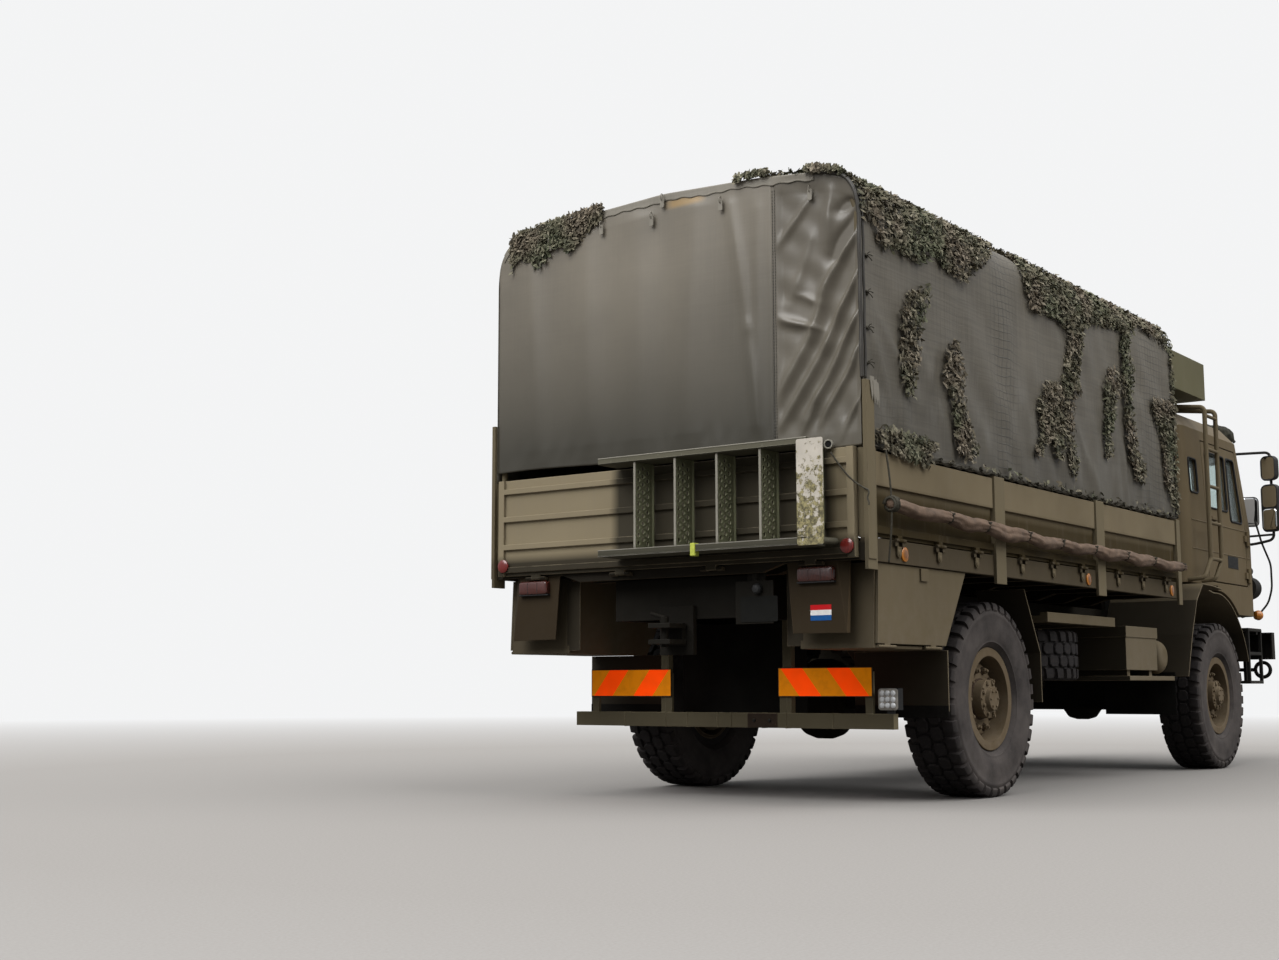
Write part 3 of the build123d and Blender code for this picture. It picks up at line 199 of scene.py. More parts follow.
# %% Sky, suns and floor
backdrop_colour = (0.90, 0.905, 0.91)
world = bpy.data.worlds.new("world")
bpy.context.scene.world = world
world.use_nodes = True
sky = world.node_tree
sky.nodes.clear()
seen = sky.nodes.new("ShaderNodeLightPath")
plain_view = maths(sky, "MAXIMUM", seen.outputs["Is Camera Ray"], seen.outputs["Is Transmission Ray"])
ambient = sky.nodes.new("ShaderNodeBackground")
ambient.inputs["Color"].default_value = (0.97, 0.985, 1, 1)
direction = sky.nodes.new("ShaderNodeTexCoord").outputs["Generated"]
sky.links.new(spread(sky, part_of(sky, direction, 2), -0.05, 0.85, 0.27, 0.92), ambient.inputs["Strength"])
backdrop = sky.nodes.new("ShaderNodeBackground")
backdrop.inputs["Color"].default_value = (*backdrop_colour, 1)
choice = sky.nodes.new("ShaderNodeMixShader")
sky.links.new(plain_view, choice.inputs[0])
sky.links.new(ambient.outputs[0], choice.inputs[1])
sky.links.new(backdrop.outputs[0], choice.inputs[2])
sky.links.new(choice.outputs[0], sky.nodes.new("ShaderNodeOutputWorld").inputs["Surface"])

# Suns: name, where the light comes from, strength, and how wide the sun is in degrees
suns = (("rear_glow", (-6, 1.5, 6.5), 3.1, 50), ("side_glow", (1, -6, 6.5), 1.85, 55))
for name, source, strength, width in suns:
    glow = bpy.data.lights.new(name, "SUN")
    glow.energy = strength
    glow.angle = np.radians(width)
    lamp = bpy.data.objects.new(name, glow)
    bpy.context.scene.collection.objects.link(lamp)
    aim = np.array(source) / np.linalg.norm(source)
    side = np.cross((0, 0, 1), aim)
    side = side / np.linalg.norm(side)
    turn = np.eye(4)
    turn[:3, :3] = np.column_stack((side, np.cross(aim, side), aim))
    lamp.matrix_world = Matrix(turn.tolist())

floor_mesh = bpy.data.meshes.new("floor")
reach = 400.0
floor_mesh.from_pydata([(-reach, -reach, 0), (reach, -reach, 0), (reach, reach, 0), (-reach, reach, 0)], [],
                       [(0, 1, 2, 3)])
floor = bpy.data.objects.new("floor", floor_mesh)
bpy.context.scene.collection.objects.link(floor)
floor_paint, tree, shader, place = new_material("floor_paint")
path = tree.nodes.new("ShaderNodeLightPath")
grain = blended(tree, noise(tree, place, 90, 4, 0.7), (0.21, 0.195, 0.18), (0.31, 0.295, 0.28))
colour = blended(tree, path.outputs["Is Camera Ray"], (0.085, 0.078, 0.070), grain)
tree.links.new(colour, shader.inputs["Base Color"])
shader.inputs["Roughness"].default_value = 0.95
distance = tree.nodes.new("ShaderNodeVectorMath")
distance.operation = "LENGTH"
tree.links.new(place, distance.inputs[0])
far = maths(tree, "MULTIPLY", spread(tree, distance.outputs["Value"], 7, 26), path.outputs["Is Camera Ray"])
haze = tree.nodes.new("ShaderNodeEmission")
haze.inputs["Color"].default_value = (*backdrop_colour, 1)
both = tree.nodes.new("ShaderNodeMixShader")
tree.links.new(far, both.inputs[0])
tree.links.new(shader.outputs[0], both.inputs[1])
tree.links.new(haze.outputs[0], both.inputs[2])
tree.links.new(both.outputs[0], next(n for n in tree.nodes if n.type == "OUTPUT_MATERIAL").inputs["Surface"])
floor_mesh.materials.append(floor_paint)

# %% [markdown]
# ## Paints
#
# Almost everything on the truck is one satin olive-brown paint. Real paint is never one colour: it fades in
# large soft patches, rain draws pale streaks down it, road dust gathers low down, and it wears to a lighter
# line along each edge. What faces the rear low down is darkened by road dirt and by painted shade. Some paints
# also get painted shade on high rear faces, a dark patch of painted shade, or pale tops with a painted sky
# highlight. The edge line comes from the Bevel node: where the rounded normal leaves the flat one, there is
# an edge. Dark chassis paint, rusty steel and the rest are other settings of the same few steps.

# %% Paints
pale_dust_and_skylight = (0.33, 0.31, 0.275)
# Colour and share of a dark patch of painted shade.
painted_shade_colour, painted_shade_share = (0.012, 0.011, 0.008), 0.86


def paint(name, colour, dust_share=0.35, shine=0.5, wear=0.5, dust=(0.190, 0.157, 0.119), top=None, chips=None,
          painted_shade=(), grime_and_shade=0.72, dust_and_skylight=0.0, behind=0.0):
    """Satin paint: soft patches, rain streaks, dust below and wear along the edges. A top is the colour
    that it fades to between two heights; on the boards the darker colour below it is painted shade. Chips
    are the colour of what shows where it has flaked, and painted_shade is a dark patch of painted shade,
    given by rows of axis, two ends and an edge. grime_and_shade is the share of dark on low faces that look
    to the rear, road dirt and painted shade, and behind is the share of painted shade on the high ones.
    dust_and_skylight is the share of pale on faces that look up: dust and a painted sky highlight."""
    made, tree, shader, place = new_material(name)
    if top:
        base = blended(tree, spread(tree, part_of(tree, place, 2), *top[1:]), colour, top[0])
    else:
        base = blended(tree, 0.0, colour, colour)
    patch = spread(tree, noise(tree, place, 1.7, 4), 0.3, 0.7, 0.0, 0.30)
    base = blended(tree, patch, base, tuple(0.62 * c for c in colour))
    streak = noise(tree, stretched(tree, place, (9, 9, 0.7)), 2.2, 4, 0.6)
    base = blended(tree, spread(tree, streak, 0.56, 0.78, 0, 0.24), base, dust)
    low = spread(tree, part_of(tree, place, 2), 1.35, 0.35)
    speck = spread(tree, noise(tree, place, 14, 6, 0.7), 0.38, 0.68)
    dusty = maths(tree, "MULTIPLY", maths(tree, "MULTIPLY", low, speck), dust_share * 1.5)
    base = blended(tree, dusty, base, dust)
    # Low faces that look to the rear darken by grime_and_shade: road dirt and painted shade. High rear faces
    # darken by behind: painted shade.
    outward = tree.nodes.new("ShaderNodeTexCoord").outputs["Normal"]
    back = spread(tree, part_of(tree, outward, 0), -0.4, -0.8)
    back = maths(tree, "MULTIPLY", back, spread(tree, part_of(tree, place, 2), 1.37, 1.32, behind, grime_and_shade))
    light_left = 0.20 if grime_and_shade < 0.9 else 0.08
    base = blended(tree, back, base, tuple(light_left * c for c in colour))
    # Faces that look up turn pale: dust and a painted sky highlight.
    if dust_and_skylight:
        base = blended(tree, spread(tree, part_of(tree, outward, 2), 0.55, 0.95, 0, dust_and_skylight), base, pale_dust_and_skylight)
    # A dark patch of painted shade.
    if painted_shade:
        dark = None
        for axis, low_end, high_end, soft in painted_shade:
            part = hump(tree, part_of(tree, place, axis), low_end, high_end, soft)
            dark = part if dark is None else maths(tree, "MULTIPLY", dark, part)
        base = blended(tree, maths(tree, "MULTIPLY", dark, painted_shade_share), base, painted_shade_colour)
    round_off = tree.nodes.new("ShaderNodeBevel")
    round_off.samples = 4
    round_off.inputs["Radius"].default_value = 0.006
    flat = tree.nodes.new("ShaderNodeNewGeometry").outputs["Normal"]
    agree = tree.nodes.new("ShaderNodeVectorMath")
    agree.operation = "DOT_PRODUCT"
    tree.links.new(round_off.outputs[0], agree.inputs[0])
    tree.links.new(flat, agree.inputs[1])
    edge = spread(tree, agree.outputs["Value"], 0.99, 0.8, 0, wear)
    edge = maths(tree, "MULTIPLY", edge, spread(tree, noise(tree, place, 7, 4), 0.35, 0.6))
    # Edges wear to a lighter colour.
    wear_and_sheen = tuple(min(1.0, 1.6 * c + 0.02) for c in colour)
    base = blended(tree, edge, base, wear_and_sheen)
    if chips:
        flake = spread(tree, noise(tree, place, 34, 5, 0.65), 0.66, 0.69)
        base = blended(tree, flake, base, chips)
    tree.links.new(base, shader.inputs["Base Color"])
    rough = spread(tree, noise(tree, place, 5, 4), 0.3, 0.7, 0.78 - 0.35 * shine, 0.95 - 0.35 * shine)
    tree.links.new(rough, shader.inputs["Roughness"])
    shader.inputs["Specular IOR Level"].default_value = 0.12
    raise_by(tree, shader, noise(tree, place, 160, 2), 0.0006, 0.5, round_off.outputs[0])
    return made


olive = (0.137, 0.108, 0.064)
rust = (0.095, 0.052, 0.028)
olive_paint = paint("olive_paint", olive)
# Below the top band the boards are nearly black: painted shade under the band and the rolled cover. The band
# above keeps the paler paint, partly dust.
board_paint = paint("board_paint", (0.050, 0.035, 0.013), 0.3, 0.45, 0.6,
                    top=((0.194, 0.155, 0.095), 1.56, 1.63))
# Faces of the cab that look up turn pale: dust and a painted sky highlight.
cab_paint = paint("cab_paint", (0.136, 0.103, 0.058), 0.3, 0.45, 0.5, dust_and_skylight=0.85)
# The posts are a lighter copy of the olive for their lit sides, with painted shade on their rear faces.
post_paint = paint("post_paint", (0.160, 0.130, 0.079), behind=0.35)
# Guards, battery box and tank face the rear nearly black: road dirt and painted shade.
guard_paint = paint("guard_paint", (0.152, 0.122, 0.077), 0.3, 0.3, 0.9, grime_and_shade=0.90)
# The bed is a darker copy of the olive, painted shade under the boards, and its low rear faces are nearly black
# with road dirt and painted shade.
bed_paint = paint("bed_paint", (0.080, 0.062, 0.037), 0.3, 0.4, 0.5, grime_and_shade=0.92)
# The gate is a lighter copy of the olive, painted light against the shade it stands in. Behind the stowed steps
# a dark patch is painted shade, and its low rear face is nearly black with road dirt and painted shade.
gate_paint = paint("gate_paint", (0.230, 0.190, 0.122), 0.3, 0.4, 0.5,
                   painted_shade=((1, -1.035, 0.33, 0.03), (2, 1.345, 1.815, 0.02)), grime_and_shade=0.93)
chassis_paint = paint("chassis_paint", (0.020, 0.017, 0.012), 0.45, 0.2, 0.25, (0.038, 0.031, 0.022))
underrun_paint = paint("underrun_paint", (0.168, 0.140, 0.084), 0.2, 0.3, 0.6, (0.11, 0.090, 0.06))
tail_paint = paint("tail_paint", (0.054, 0.036, 0.017), 0.25, 0.5, 0.9, (0.07, 0.055, 0.04), grime_and_shade=0.6)
black_paint = paint("black_paint", (0.020, 0.019, 0.017), 0.4, 0.6, 0.3, (0.08, 0.067, 0.05))
engine_paint = paint("engine_paint", (0.07, 0.07, 0.066), 0.7, 0.2, 0.3, (0.08, 0.066, 0.05))
exhaust_steel = paint("exhaust_steel", (0.11, 0.075, 0.052), 0.6, 0.1, 0.2, (0.10, 0.08, 0.06))
roof_box_paint = paint("roof_box_paint", (0.134, 0.123, 0.070), 0.2, 0.4, 0.3)
wheel_paint = paint("wheel_paint", (0.126, 0.092, 0.054), 0.5, 0.35, 0.5, (0.170, 0.134, 0.092),
                    chips=(0.06, 0.04, 0.026), grime_and_shade=0.25)
rusty_steel = paint("rusty_steel", (0.045, 0.028, 0.018), 0.3, 0.2, 0.6, (0.10, 0.07, 0.045), chips=rust)
pale_steel = paint("pale_steel", (0.25, 0.235, 0.195), 0.15, 0.4, 0.4, (0.16, 0.14, 0.10), chips=olive)

# %% [markdown]
# ## Rubber, plastic, lenses and glass
#
# The smaller finishes share one recipe: a colour that drifts by a share, and fine relief. Tyre rubber also
# has an attribute that says how far out on the side wall a point lies, because dust clings there and the
# tread scrubs itself clean. A lens is clear coloured plastic over fine ribs.

# %% Rubber, plastic, glass and lenses
def plain_finish(name, colour, rough, spots=0.12, scale=9.0, relief=0.0, relief_scale=200.0, metal=0.0,
                 gloss=0.3):
    """A moulded or woven finish: its colour drifts by a share, and it may have fine relief."""
    made, tree, shader, place = new_material(name)
    dark = tuple((1 - spots) * c for c in colour)
    light = tuple(min(1.0, (1 + spots) * c) for c in colour)
    base = blended(tree, spread(tree, noise(tree, place, scale, 5, 0.6), 0.3, 0.7), dark, light)
    tree.links.new(base, shader.inputs["Base Color"])
    tree.links.new(spread(tree, noise(tree, place, 2 * scale, 3), 0.3, 0.7, 0.9 * rough, min(1.0, 1.1 * rough)),
                   shader.inputs["Roughness"])
    settings(shader, {"Metallic": metal, "Specular IOR Level": gloss})
    if relief:
        raise_by(tree, shader, noise(tree, place, relief_scale, 3), relief)
    return made


tyre_rubber, tree, shader, place = new_material("tyre_rubber")
wall = tree.nodes.new("ShaderNodeAttribute")
wall.attribute_name = "side_wall"
dust = spread(tree, noise(tree, place, 5, 6, 0.65), 0.34, 0.72, 0.25, 0.95)
dust = maths(tree, "MULTIPLY", dust, wall.outputs["Fac"])
base = blended(tree, dust, (0.0190, 0.0165, 0.0165), (0.098, 0.084, 0.077))
fine = spread(tree, noise(tree, place, 60, 4, 0.7), 0.5, 0.85, 0, 0.4)
tree.links.new(blended(tree, fine, base, (0.075, 0.062, 0.05)), shader.inputs["Base Color"])
settings(shader, {"Roughness": 0.8, "Specular IOR Level": 0.2})
raise_by(tree, shader, noise(tree, place, 120, 3), 0.0008)

black_plastic = plain_finish("black_plastic", (0.016, 0.016, 0.016), 0.5, 0.2, 30, 0.0004, 400)
black_rubber = plain_finish("black_rubber", (0.012, 0.012, 0.012), 0.7, 0.3, 40, 0.0004, 300)
seat_cloth = plain_finish("seat_cloth", (0.07, 0.08, 0.055), 0.95, 0.2, 25, 0.001, 500)
rope_fibre = plain_finish("rope_fibre", (0.050, 0.045, 0.033), 0.95, 0.35, 60, 0.002, 300)
# painted_shade_black stands for deep shade inside a hollow.
painted_shade_black = plain_finish("painted_shade_black", (0.004, 0.004, 0.004), 0.95, 0.2, 20)
bare_steel = plain_finish("bare_steel", (0.30, 0.28, 0.25), 0.5, 0.3, 40, 0.0004, 300, 0.6)
strap_web = plain_finish("strap_web", (0.42, 0.46, 0.07), 0.85, 0.2, 60, 0.001, 500)
plate_black = plain_finish("plate_black", (0.010, 0.010, 0.009), 0.8, 0.15, 20, 0.0003, 200, gloss=0.08)
# underbody_shade_rubber is near-black: the sheets below the bed stand for deep shade.
underbody_shade_rubber = plain_finish("underbody_shade_rubber", (0.0065, 0.0060, 0.0050), 0.9, 0.5, 7, 0.001, 60, gloss=0.1)
mirror_silver = plain_finish("mirror_silver", (0.86, 0.87, 0.88), 0.05, 0.02, 3, metal=1.0)

window_glass, tree, shader, place = new_material("window_glass")
settings(shader, {"Base Color": (0.72, 0.80, 0.79, 1), "Transmission Weight": 0.92, "IOR": 1.1})
tree.links.new(spread(tree, noise(tree, place, 3, 5), 0.3, 0.7, 0.02, 0.14), shader.inputs["Roughness"])


def lens(name, colour, dark_share=0.35):
    """A moulded lamp lens: clear coloured plastic with fine vertical ribs behind a smooth face."""
    made, tree, shader, place = new_material(name)
    ribs = tree.nodes.new("ShaderNodeTexWave")
    ribs.bands_direction = "Y"
    ribs.inputs["Scale"].default_value = 40
    tree.links.new(place, ribs.inputs["Vector"])
    dark = tuple(dark_share * c for c in colour)
    tree.links.new(blended(tree, ribs.outputs["Fac"], dark, colour), shader.inputs["Base Color"])
    settings(shader, {"Roughness": 0.25, "Coat Weight": 0.6, "Coat Roughness": 0.1})
    return made


red_lens = lens("red_lens", (0.20, 0.018, 0.014))
dark_red_lens = lens("dark_red_lens", (0.085, 0.020, 0.014))
amber_lens = lens("amber_lens", (0.60, 0.20, 0.012))
clear_lens = lens("clear_lens", (0.72, 0.73, 0.74), 0.7)

# %% [markdown]
# ## Cloth finishes
#
# The cover is a coated canvas. From a few metres away its weave shows as faint upright and level streaks,
# and a scrim net lies flat against the sides, so that its square mesh shows most in two broad upright
# bands. Both are drawn on the piece's own coordinates, so they stay on the cloth from every side.

# %% Canvas with its streaks and the mesh that lies on it
def canvas(name, colour, mesh_share=0.0, streak_share=0.5, rough=0.6, shade=(2.5, 1.85, 0.4), painted_sheen=0.0,
           part=(), tide=()):
    """Coated canvas: broad fading, two sets of fine streaks, and a square mesh of thin lines where it
    shows. The shade is painted shade: two heights and how dark it grows between them, darker towards the
    bottom. painted_sheen is a share of pale painted highlight low down. A part is one cloth of several, as an
    axis, two ends, its share of painted shade at the top and how much of the lower painted shade it is
    spared. A tide is a rusty mark, given by rows of axis, two ends and an edge."""
    made, tree, shader, place = new_material(name)
    dark = tuple(0.76 * c for c in colour)
    light = tuple(1.10 * c for c in colour)
    base = blended(tree, spread(tree, noise(tree, place, 1.1, 5, 0.55), 0.32, 0.68), dark, light)
    upright = noise(tree, stretched(tree, place, (70, 70, 1.6)), 1.4, 3)
    level = noise(tree, stretched(tree, place, (1.6, 1.6, 70)), 1.4, 3)
    streaks = spread(tree, maths(tree, "ADD", upright, level), 0.85, 1.2, 0, streak_share)
    base = blended(tree, streaks, base, tuple(1.38 * c for c in colour))
    # Painted shade: darker towards the bottom, by a share that grows between the two heights.
    low = spread(tree, part_of(tree, place, 2), shade[0], shade[1], 0, shade[2])
    if part:
        this_cloth = spread(tree, part_of(tree, place, part[0]), part[1], part[2])
        low = maths(tree, "MULTIPLY", low, spread(tree, this_cloth, 0, 1, 1, 1 - part[4]))
    base = blended(tree, low, base, (0.20 * colour[0], 0.21 * colour[1], 0.20 * colour[2]))
    # Painted sheen: pale patches low down stand for the shine on wrinkles.
    if painted_sheen:
        puff = spread(tree, noise(tree, stretched(tree, place, (1, 1, 0.55)), 5.5, 5, 0.6), 0.52, 0.72)
        wear_and_sheen = maths(tree, "MULTIPLY", puff, hump(tree, part_of(tree, place, 2), 1.90, 2.45, 0.12))
        base = blended(tree, maths(tree, "MULTIPLY", wear_and_sheen, painted_sheen), base, (0.235, 0.225, 0.205))
    # Painted shade at the top of one cloth.
    if part:
        top = maths(tree, "MULTIPLY", this_cloth, spread(tree, part_of(tree, place, 2), 2.5, 2.9, 0, part[3]))
        base = blended(tree, top, base, tuple(0.25 * c for c in colour))
    mark = 0.7
    for axis, low_end, high_end, soft in tide:
        mark = maths(tree, "MULTIPLY", mark, hump(tree, part_of(tree, place, axis), low_end, high_end, soft))
    if tide:
        base = blended(tree, mark, base, (0.36, 0.23, 0.085))
    relief = maths(tree, "MULTIPLY", streaks, 0.5)
    if mesh_share:
        lines = None
        for axis, pitch in ((0, 0.052), (2, 0.047)):
            drift = spread(tree, noise(tree, place, 2.2, 2), 0, 1, -0.05, 0.05)
            drifted = maths(tree, "ADD", part_of(tree, place, axis), drift)
            wave = maths(tree, "FRACT", maths(tree, "DIVIDE", drifted, pitch))
            line = spread(tree, maths(tree, "ABSOLUTE", maths(tree, "SUBTRACT", wave, 0.5)), 0.08, 0.03)
            lines = line if lines is None else maths(tree, "MAXIMUM", lines, line)
        along = part_of(tree, place, 0)
        bands = maths(tree, "MAXIMUM", hump(tree, along, -1.9, -1.55, 0.12), hump(tree, along, 0.45, 0.95, 0.15))
        patchy = spread(tree, noise(tree, place, 1.5, 3), 0.45, 0.65, 0.04, 0.35)
        lines = maths(tree, "MULTIPLY", lines, maths(tree, "MAXIMUM", bands, patchy))
        base = blended(tree, maths(tree, "MULTIPLY", lines, mesh_share), base, (0.030, 0.030, 0.025))
        relief = maths(tree, "ADD", relief, lines)
    tree.links.new(base, shader.inputs["Base Color"])
    settings(shader, {"Roughness": rough, "Specular IOR Level": 0.45})
    raise_by(tree, shader, relief, 0.0014, 0.7)
    return made


# Both canvases darken towards the bottom by painted shade. The side carries pale painted sheen low down.
side_canvas = canvas("side_canvas", (0.118, 0.104, 0.080), 0.65, 0.5, 0.5, (2.6, 1.85, 0.42), 0.22)
roof_edge_mark = ((0, -3.7, -3.3, 0.05), (1, -0.26, -0.03, 0.03), (2, 3.215, 3.262, 0.012))
# On the rear the painted shade grows strong low down, and the right cloth gets painted shade at its top and less
# below.
rear_canvas = canvas("rear_canvas", (0.184, 0.162, 0.127), 0.0, 0.10, 0.36, (3.0, 1.95, 0.94), 0.0,
                     (1, -0.695, -0.705, 0.42, 0.42), roof_edge_mark)
trim_canvas = canvas("trim_canvas", (0.215, 0.195, 0.158), 0.0, 0.2, 0.5, (0.2, 0.1, 0.0))
dark_trim = canvas("dark_trim", (0.034, 0.030, 0.024), 0.0, 0.2, 0.5, (0.2, 0.1, 0.0))
roll_cloth = plain_finish("roll_cloth", (0.138, 0.092, 0.063), 0.75, 0.35, 14, 0.003, 90)

# %% [markdown]
# Each piece from the CAD model now gets its finish. One table says which nodes share a paint, and whatever
# it doesn't name stays olive. The striped boards get theirs further down.

# %% Give each CAD node its finish
finishes = {
    chassis_paint: ("chassis_frame", "driveline", "leaf_springs", "rear_axle", "front_axle",
                    "steering_knuckle_left", "steering_knuckle_right", "track_rod", "tow_coupling"),
    board_paint: ("side_boards_right", "side_board_left_1", "side_board_left_2", "side_board_left_3"),
    black_paint: ("front_bumper", "cab_steps", "front_lamps"),
    bed_paint: ("cargo_bed",),
    gate_paint: ("tailgate",),
    post_paint: ("posts_and_bows",),
    underrun_paint: ("underrun_bar",),
    cab_paint: ("cab_shell", "door_left", "door_right"),
    guard_paint: ("mudguards", "battery_box", "fuel_tank"),
    engine_paint: ("engine_block",),
    exhaust_steel: ("exhaust",),
    roof_box_paint: ("roof_box",),
    wheel_paint: [name for name in node if name.startswith("wheel_")] + ["spare_wheel"],
    black_plastic: ("dashboard", "steering_wheel", "mirrors", "work_lamp"),
    seat_cloth: ("seats",),
    window_glass: ("cab_glass", "door_glass_left", "door_glass_right"),
}
chosen = {name: finish for finish, names in finishes.items() for name in names}
for name, shown in node.items():
    shown.data.materials.clear()
    shown.data.materials.append(chosen.get(name, olive_paint))
print("finishes", len(bpy.data.materials))

# %% [markdown]
# ## Surfaces from arrays
#
# Every new piece is worked out with numpy. A sheet is a grid: two numbers run over it, and a formula turns
# them into a place. A rope or a moulding is a profile carried along a path. The helpers below join such
# grids into faces and hand whole arrays to Blender, with no loop over the points.

# %% Grids and pieces
def grid_faces(rows, columns, close_rows=False, close_columns=False):
    """Quads between neighbouring points of a grid that is stored row after row."""
    row, column = np.meshgrid(np.arange(rows - (not close_rows)), np.arange(columns - (not close_columns)),
                              indexing="ij")
    next_row, next_column = (row + 1) % rows, (column + 1) % columns
    corners = (row * columns + column, row * columns + next_column,
               next_row * columns + next_column, next_row * columns + column)
    return np.stack(corners, -1).reshape(-1, 4)


def make_piece(name, body, slot, finish, points, faces, smooth=True, closed=True, stands_for=(), sharp=None):
    """A mesh from whole arrays, riding on a CAD body. Closed shapes get their faces turned outwards. Edges
    that turn by more than sharp degrees stay crisp."""
    mesh = bpy.data.meshes.new(name)
    sizes = np.concatenate([np.full(len(block), block.shape[1]) for block in faces])
    corners = np.concatenate([block.ravel() for block in faces])
    mesh.vertices.add(len(points))
    mesh.vertices.foreach_set("co", np.asarray(points, np.float32).ravel())
    mesh.loops.add(len(corners))
    mesh.loops.foreach_set("vertex_index", corners.astype(np.int32))
    mesh.polygons.add(len(sizes))
    mesh.polygons.foreach_set("loop_start", np.concatenate(([0], np.cumsum(sizes)[:-1])).astype(np.int32))
    mesh.update(calc_edges=True)
    mesh.validate()
    if closed:
        work = bmesh.new()
        work.from_mesh(mesh)
        bmesh.ops.recalc_face_normals(work, faces=work.faces)
        work.to_mesh(mesh)
        work.free()
    mesh.polygons.foreach_set("use_smooth", np.full(len(mesh.polygons), smooth))
    if sharp:
        mesh.set_sharp_from_angle(angle=np.radians(sharp))
    mesh.materials.append(finish)
    made = bpy.data.objects.new(name, mesh)
    bpy.context.scene.collection.objects.link(made)
    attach(made, body)
    if stands_for:
        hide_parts(*stands_for)
    return made


def unit(vectors):
    """Each vector divided by its length."""
    return vectors / np.maximum(np.linalg.norm(vectors, axis=-1, keepdims=True), 1e-9)


# %% [markdown]
# Ropes, pipes and seals are a ring carried along a path. The ring needs one direction that the path never
# runs along, so that it doesn't twist, and each call names it. Small parts that repeat, such as nuts, knots
# and holes, are made once and copied to all their places in one array sum.

# %% Carried, turned and repeated shapes
def full_turn(count):
    """Angles at equal steps round a circle."""
    return np.linspace(0, 2 * np.pi, count, endpoint=False)


def carried(path, radii, sides=8, lobes=None, beside=(0, 0, 1), loop=False):
    """A round section carried along a path, each ring square to it. beside is a direction that the path
    never runs along. lobes scales the radius of each point of each ring. A loop joins its ends, other paths
    close."""
    path = np.asarray(path, float)
    radii = np.broadcast_to(np.asarray(radii, float), len(path))
    if loop:
        along = unit(np.roll(path, -1, axis=0) - np.roll(path, 1, axis=0))
    else:
        along = unit(np.gradient(path, axis=0))
    first = unit(np.cross(along, beside))
    second = np.cross(along, first)
    turn = full_turn(sides)
    size = radii[:, None] * (np.ones((len(path), sides)) if lobes is None else lobes)
    ring = (np.cos(turn)[None, :, None] * first[:, None] + np.sin(turn)[None, :, None] * second[:, None])
    points = (path[:, None] + size[..., None] * ring).reshape(-1, 3)
    last = (len(path) - 1) * sides
    skin = grid_faces(len(path), sides, close_rows=loop, close_columns=True)
    ends = [] if loop else [np.arange(sides)[None], last + np.arange(sides)[None, ::-1]]
    return points, [skin] + ends


def spun(profile, sides=20):
    """A closed shape turned about Z from (radius, height) rows, with a flat face at each end."""
    radius, height = np.asarray(profile, float).T
    turn = full_turn(sides)
    points = np.stack((radius[:, None] * np.cos(turn), radius[:, None] * np.sin(turn),
                       height[:, None] + 0 * turn), -1)
    last = (len(radius) - 1) * sides
    return points.reshape(-1, 3), [grid_faces(len(radius), sides, close_columns=True),
                                   np.arange(sides)[None, ::-1], last + np.arange(sides)[None]]


def slab(outline, depth):
    """A flat plate: an outline in X and Y, with its thickness along Z from 0."""
    outline = np.asarray(outline, float)
    count = len(outline)
    points = np.concatenate([np.column_stack((outline, np.full(count, z))) for z in (0, depth)])
    return points, [grid_faces(2, count, close_columns=True), np.arange(count)[None, ::-1],
                    count + np.arange(count)[None]]


def rounded(width, height, corner, steps=5):
    """A rectangle's outline with round corners, about the origin."""
    turn = np.linspace(0, np.pi / 2, steps)
    corners = [np.column_stack((np.cos(turn + k * np.pi / 2), np.sin(turn + k * np.pi / 2))) * corner
               + np.array((sx, sy)) * (width / 2 - corner, height / 2 - corner)
               for k, (sx, sy) in enumerate(((1, 1), (-1, 1), (-1, -1), (1, -1)))]
    return np.concatenate(corners)


def joined(shapes):
    """Several shapes as one: the points end to end, with the face numbers moved on to match."""
    starts = np.cumsum([0] + [len(points) for points, faces in shapes])
    points = np.concatenate([points for points, faces in shapes])
    blocks = {}
    for start, (_, faces) in zip(starts, shapes):
        for block in faces:
            blocks.setdefault(block.shape[1], []).append(block + start)
    return points, [np.concatenate(found) for found in blocks.values()]


def repeated(shape, places, axes=None):
    """One small shape copied to many places: every copy is a whole-array sum, turned by its own three
    axes."""
    points, faces = np.asarray(shape[0], float), shape[1]
    places = np.asarray(places, float).reshape(-1, 3)
    if axes is not None and np.ndim(axes) == 2:
        axes = np.tile(axes, (len(places), 1, 1))
    turned = points[None] if axes is None else np.einsum("pk,nkj->npj", points, axes)
    every = (turned + places[:, None]).reshape(-1, 3)
    step = len(points) * np.arange(len(places))
    return every, [(block[None] + step[:, None, None]).reshape(-1, block.shape[1]) for block in faces]


def facing(direction):
    """Axes that turn a shape made along Z to face a direction, with its Y as upright as can be."""
    out = unit(np.asarray(direction, float))
    upright = np.array((0, 0, 1.0)) if abs(out[2]) < 0.9 else np.array((1.0, 0, 0))
    across = unit(np.cross(upright, out))
    return np.array((across, np.cross(out, across), out))


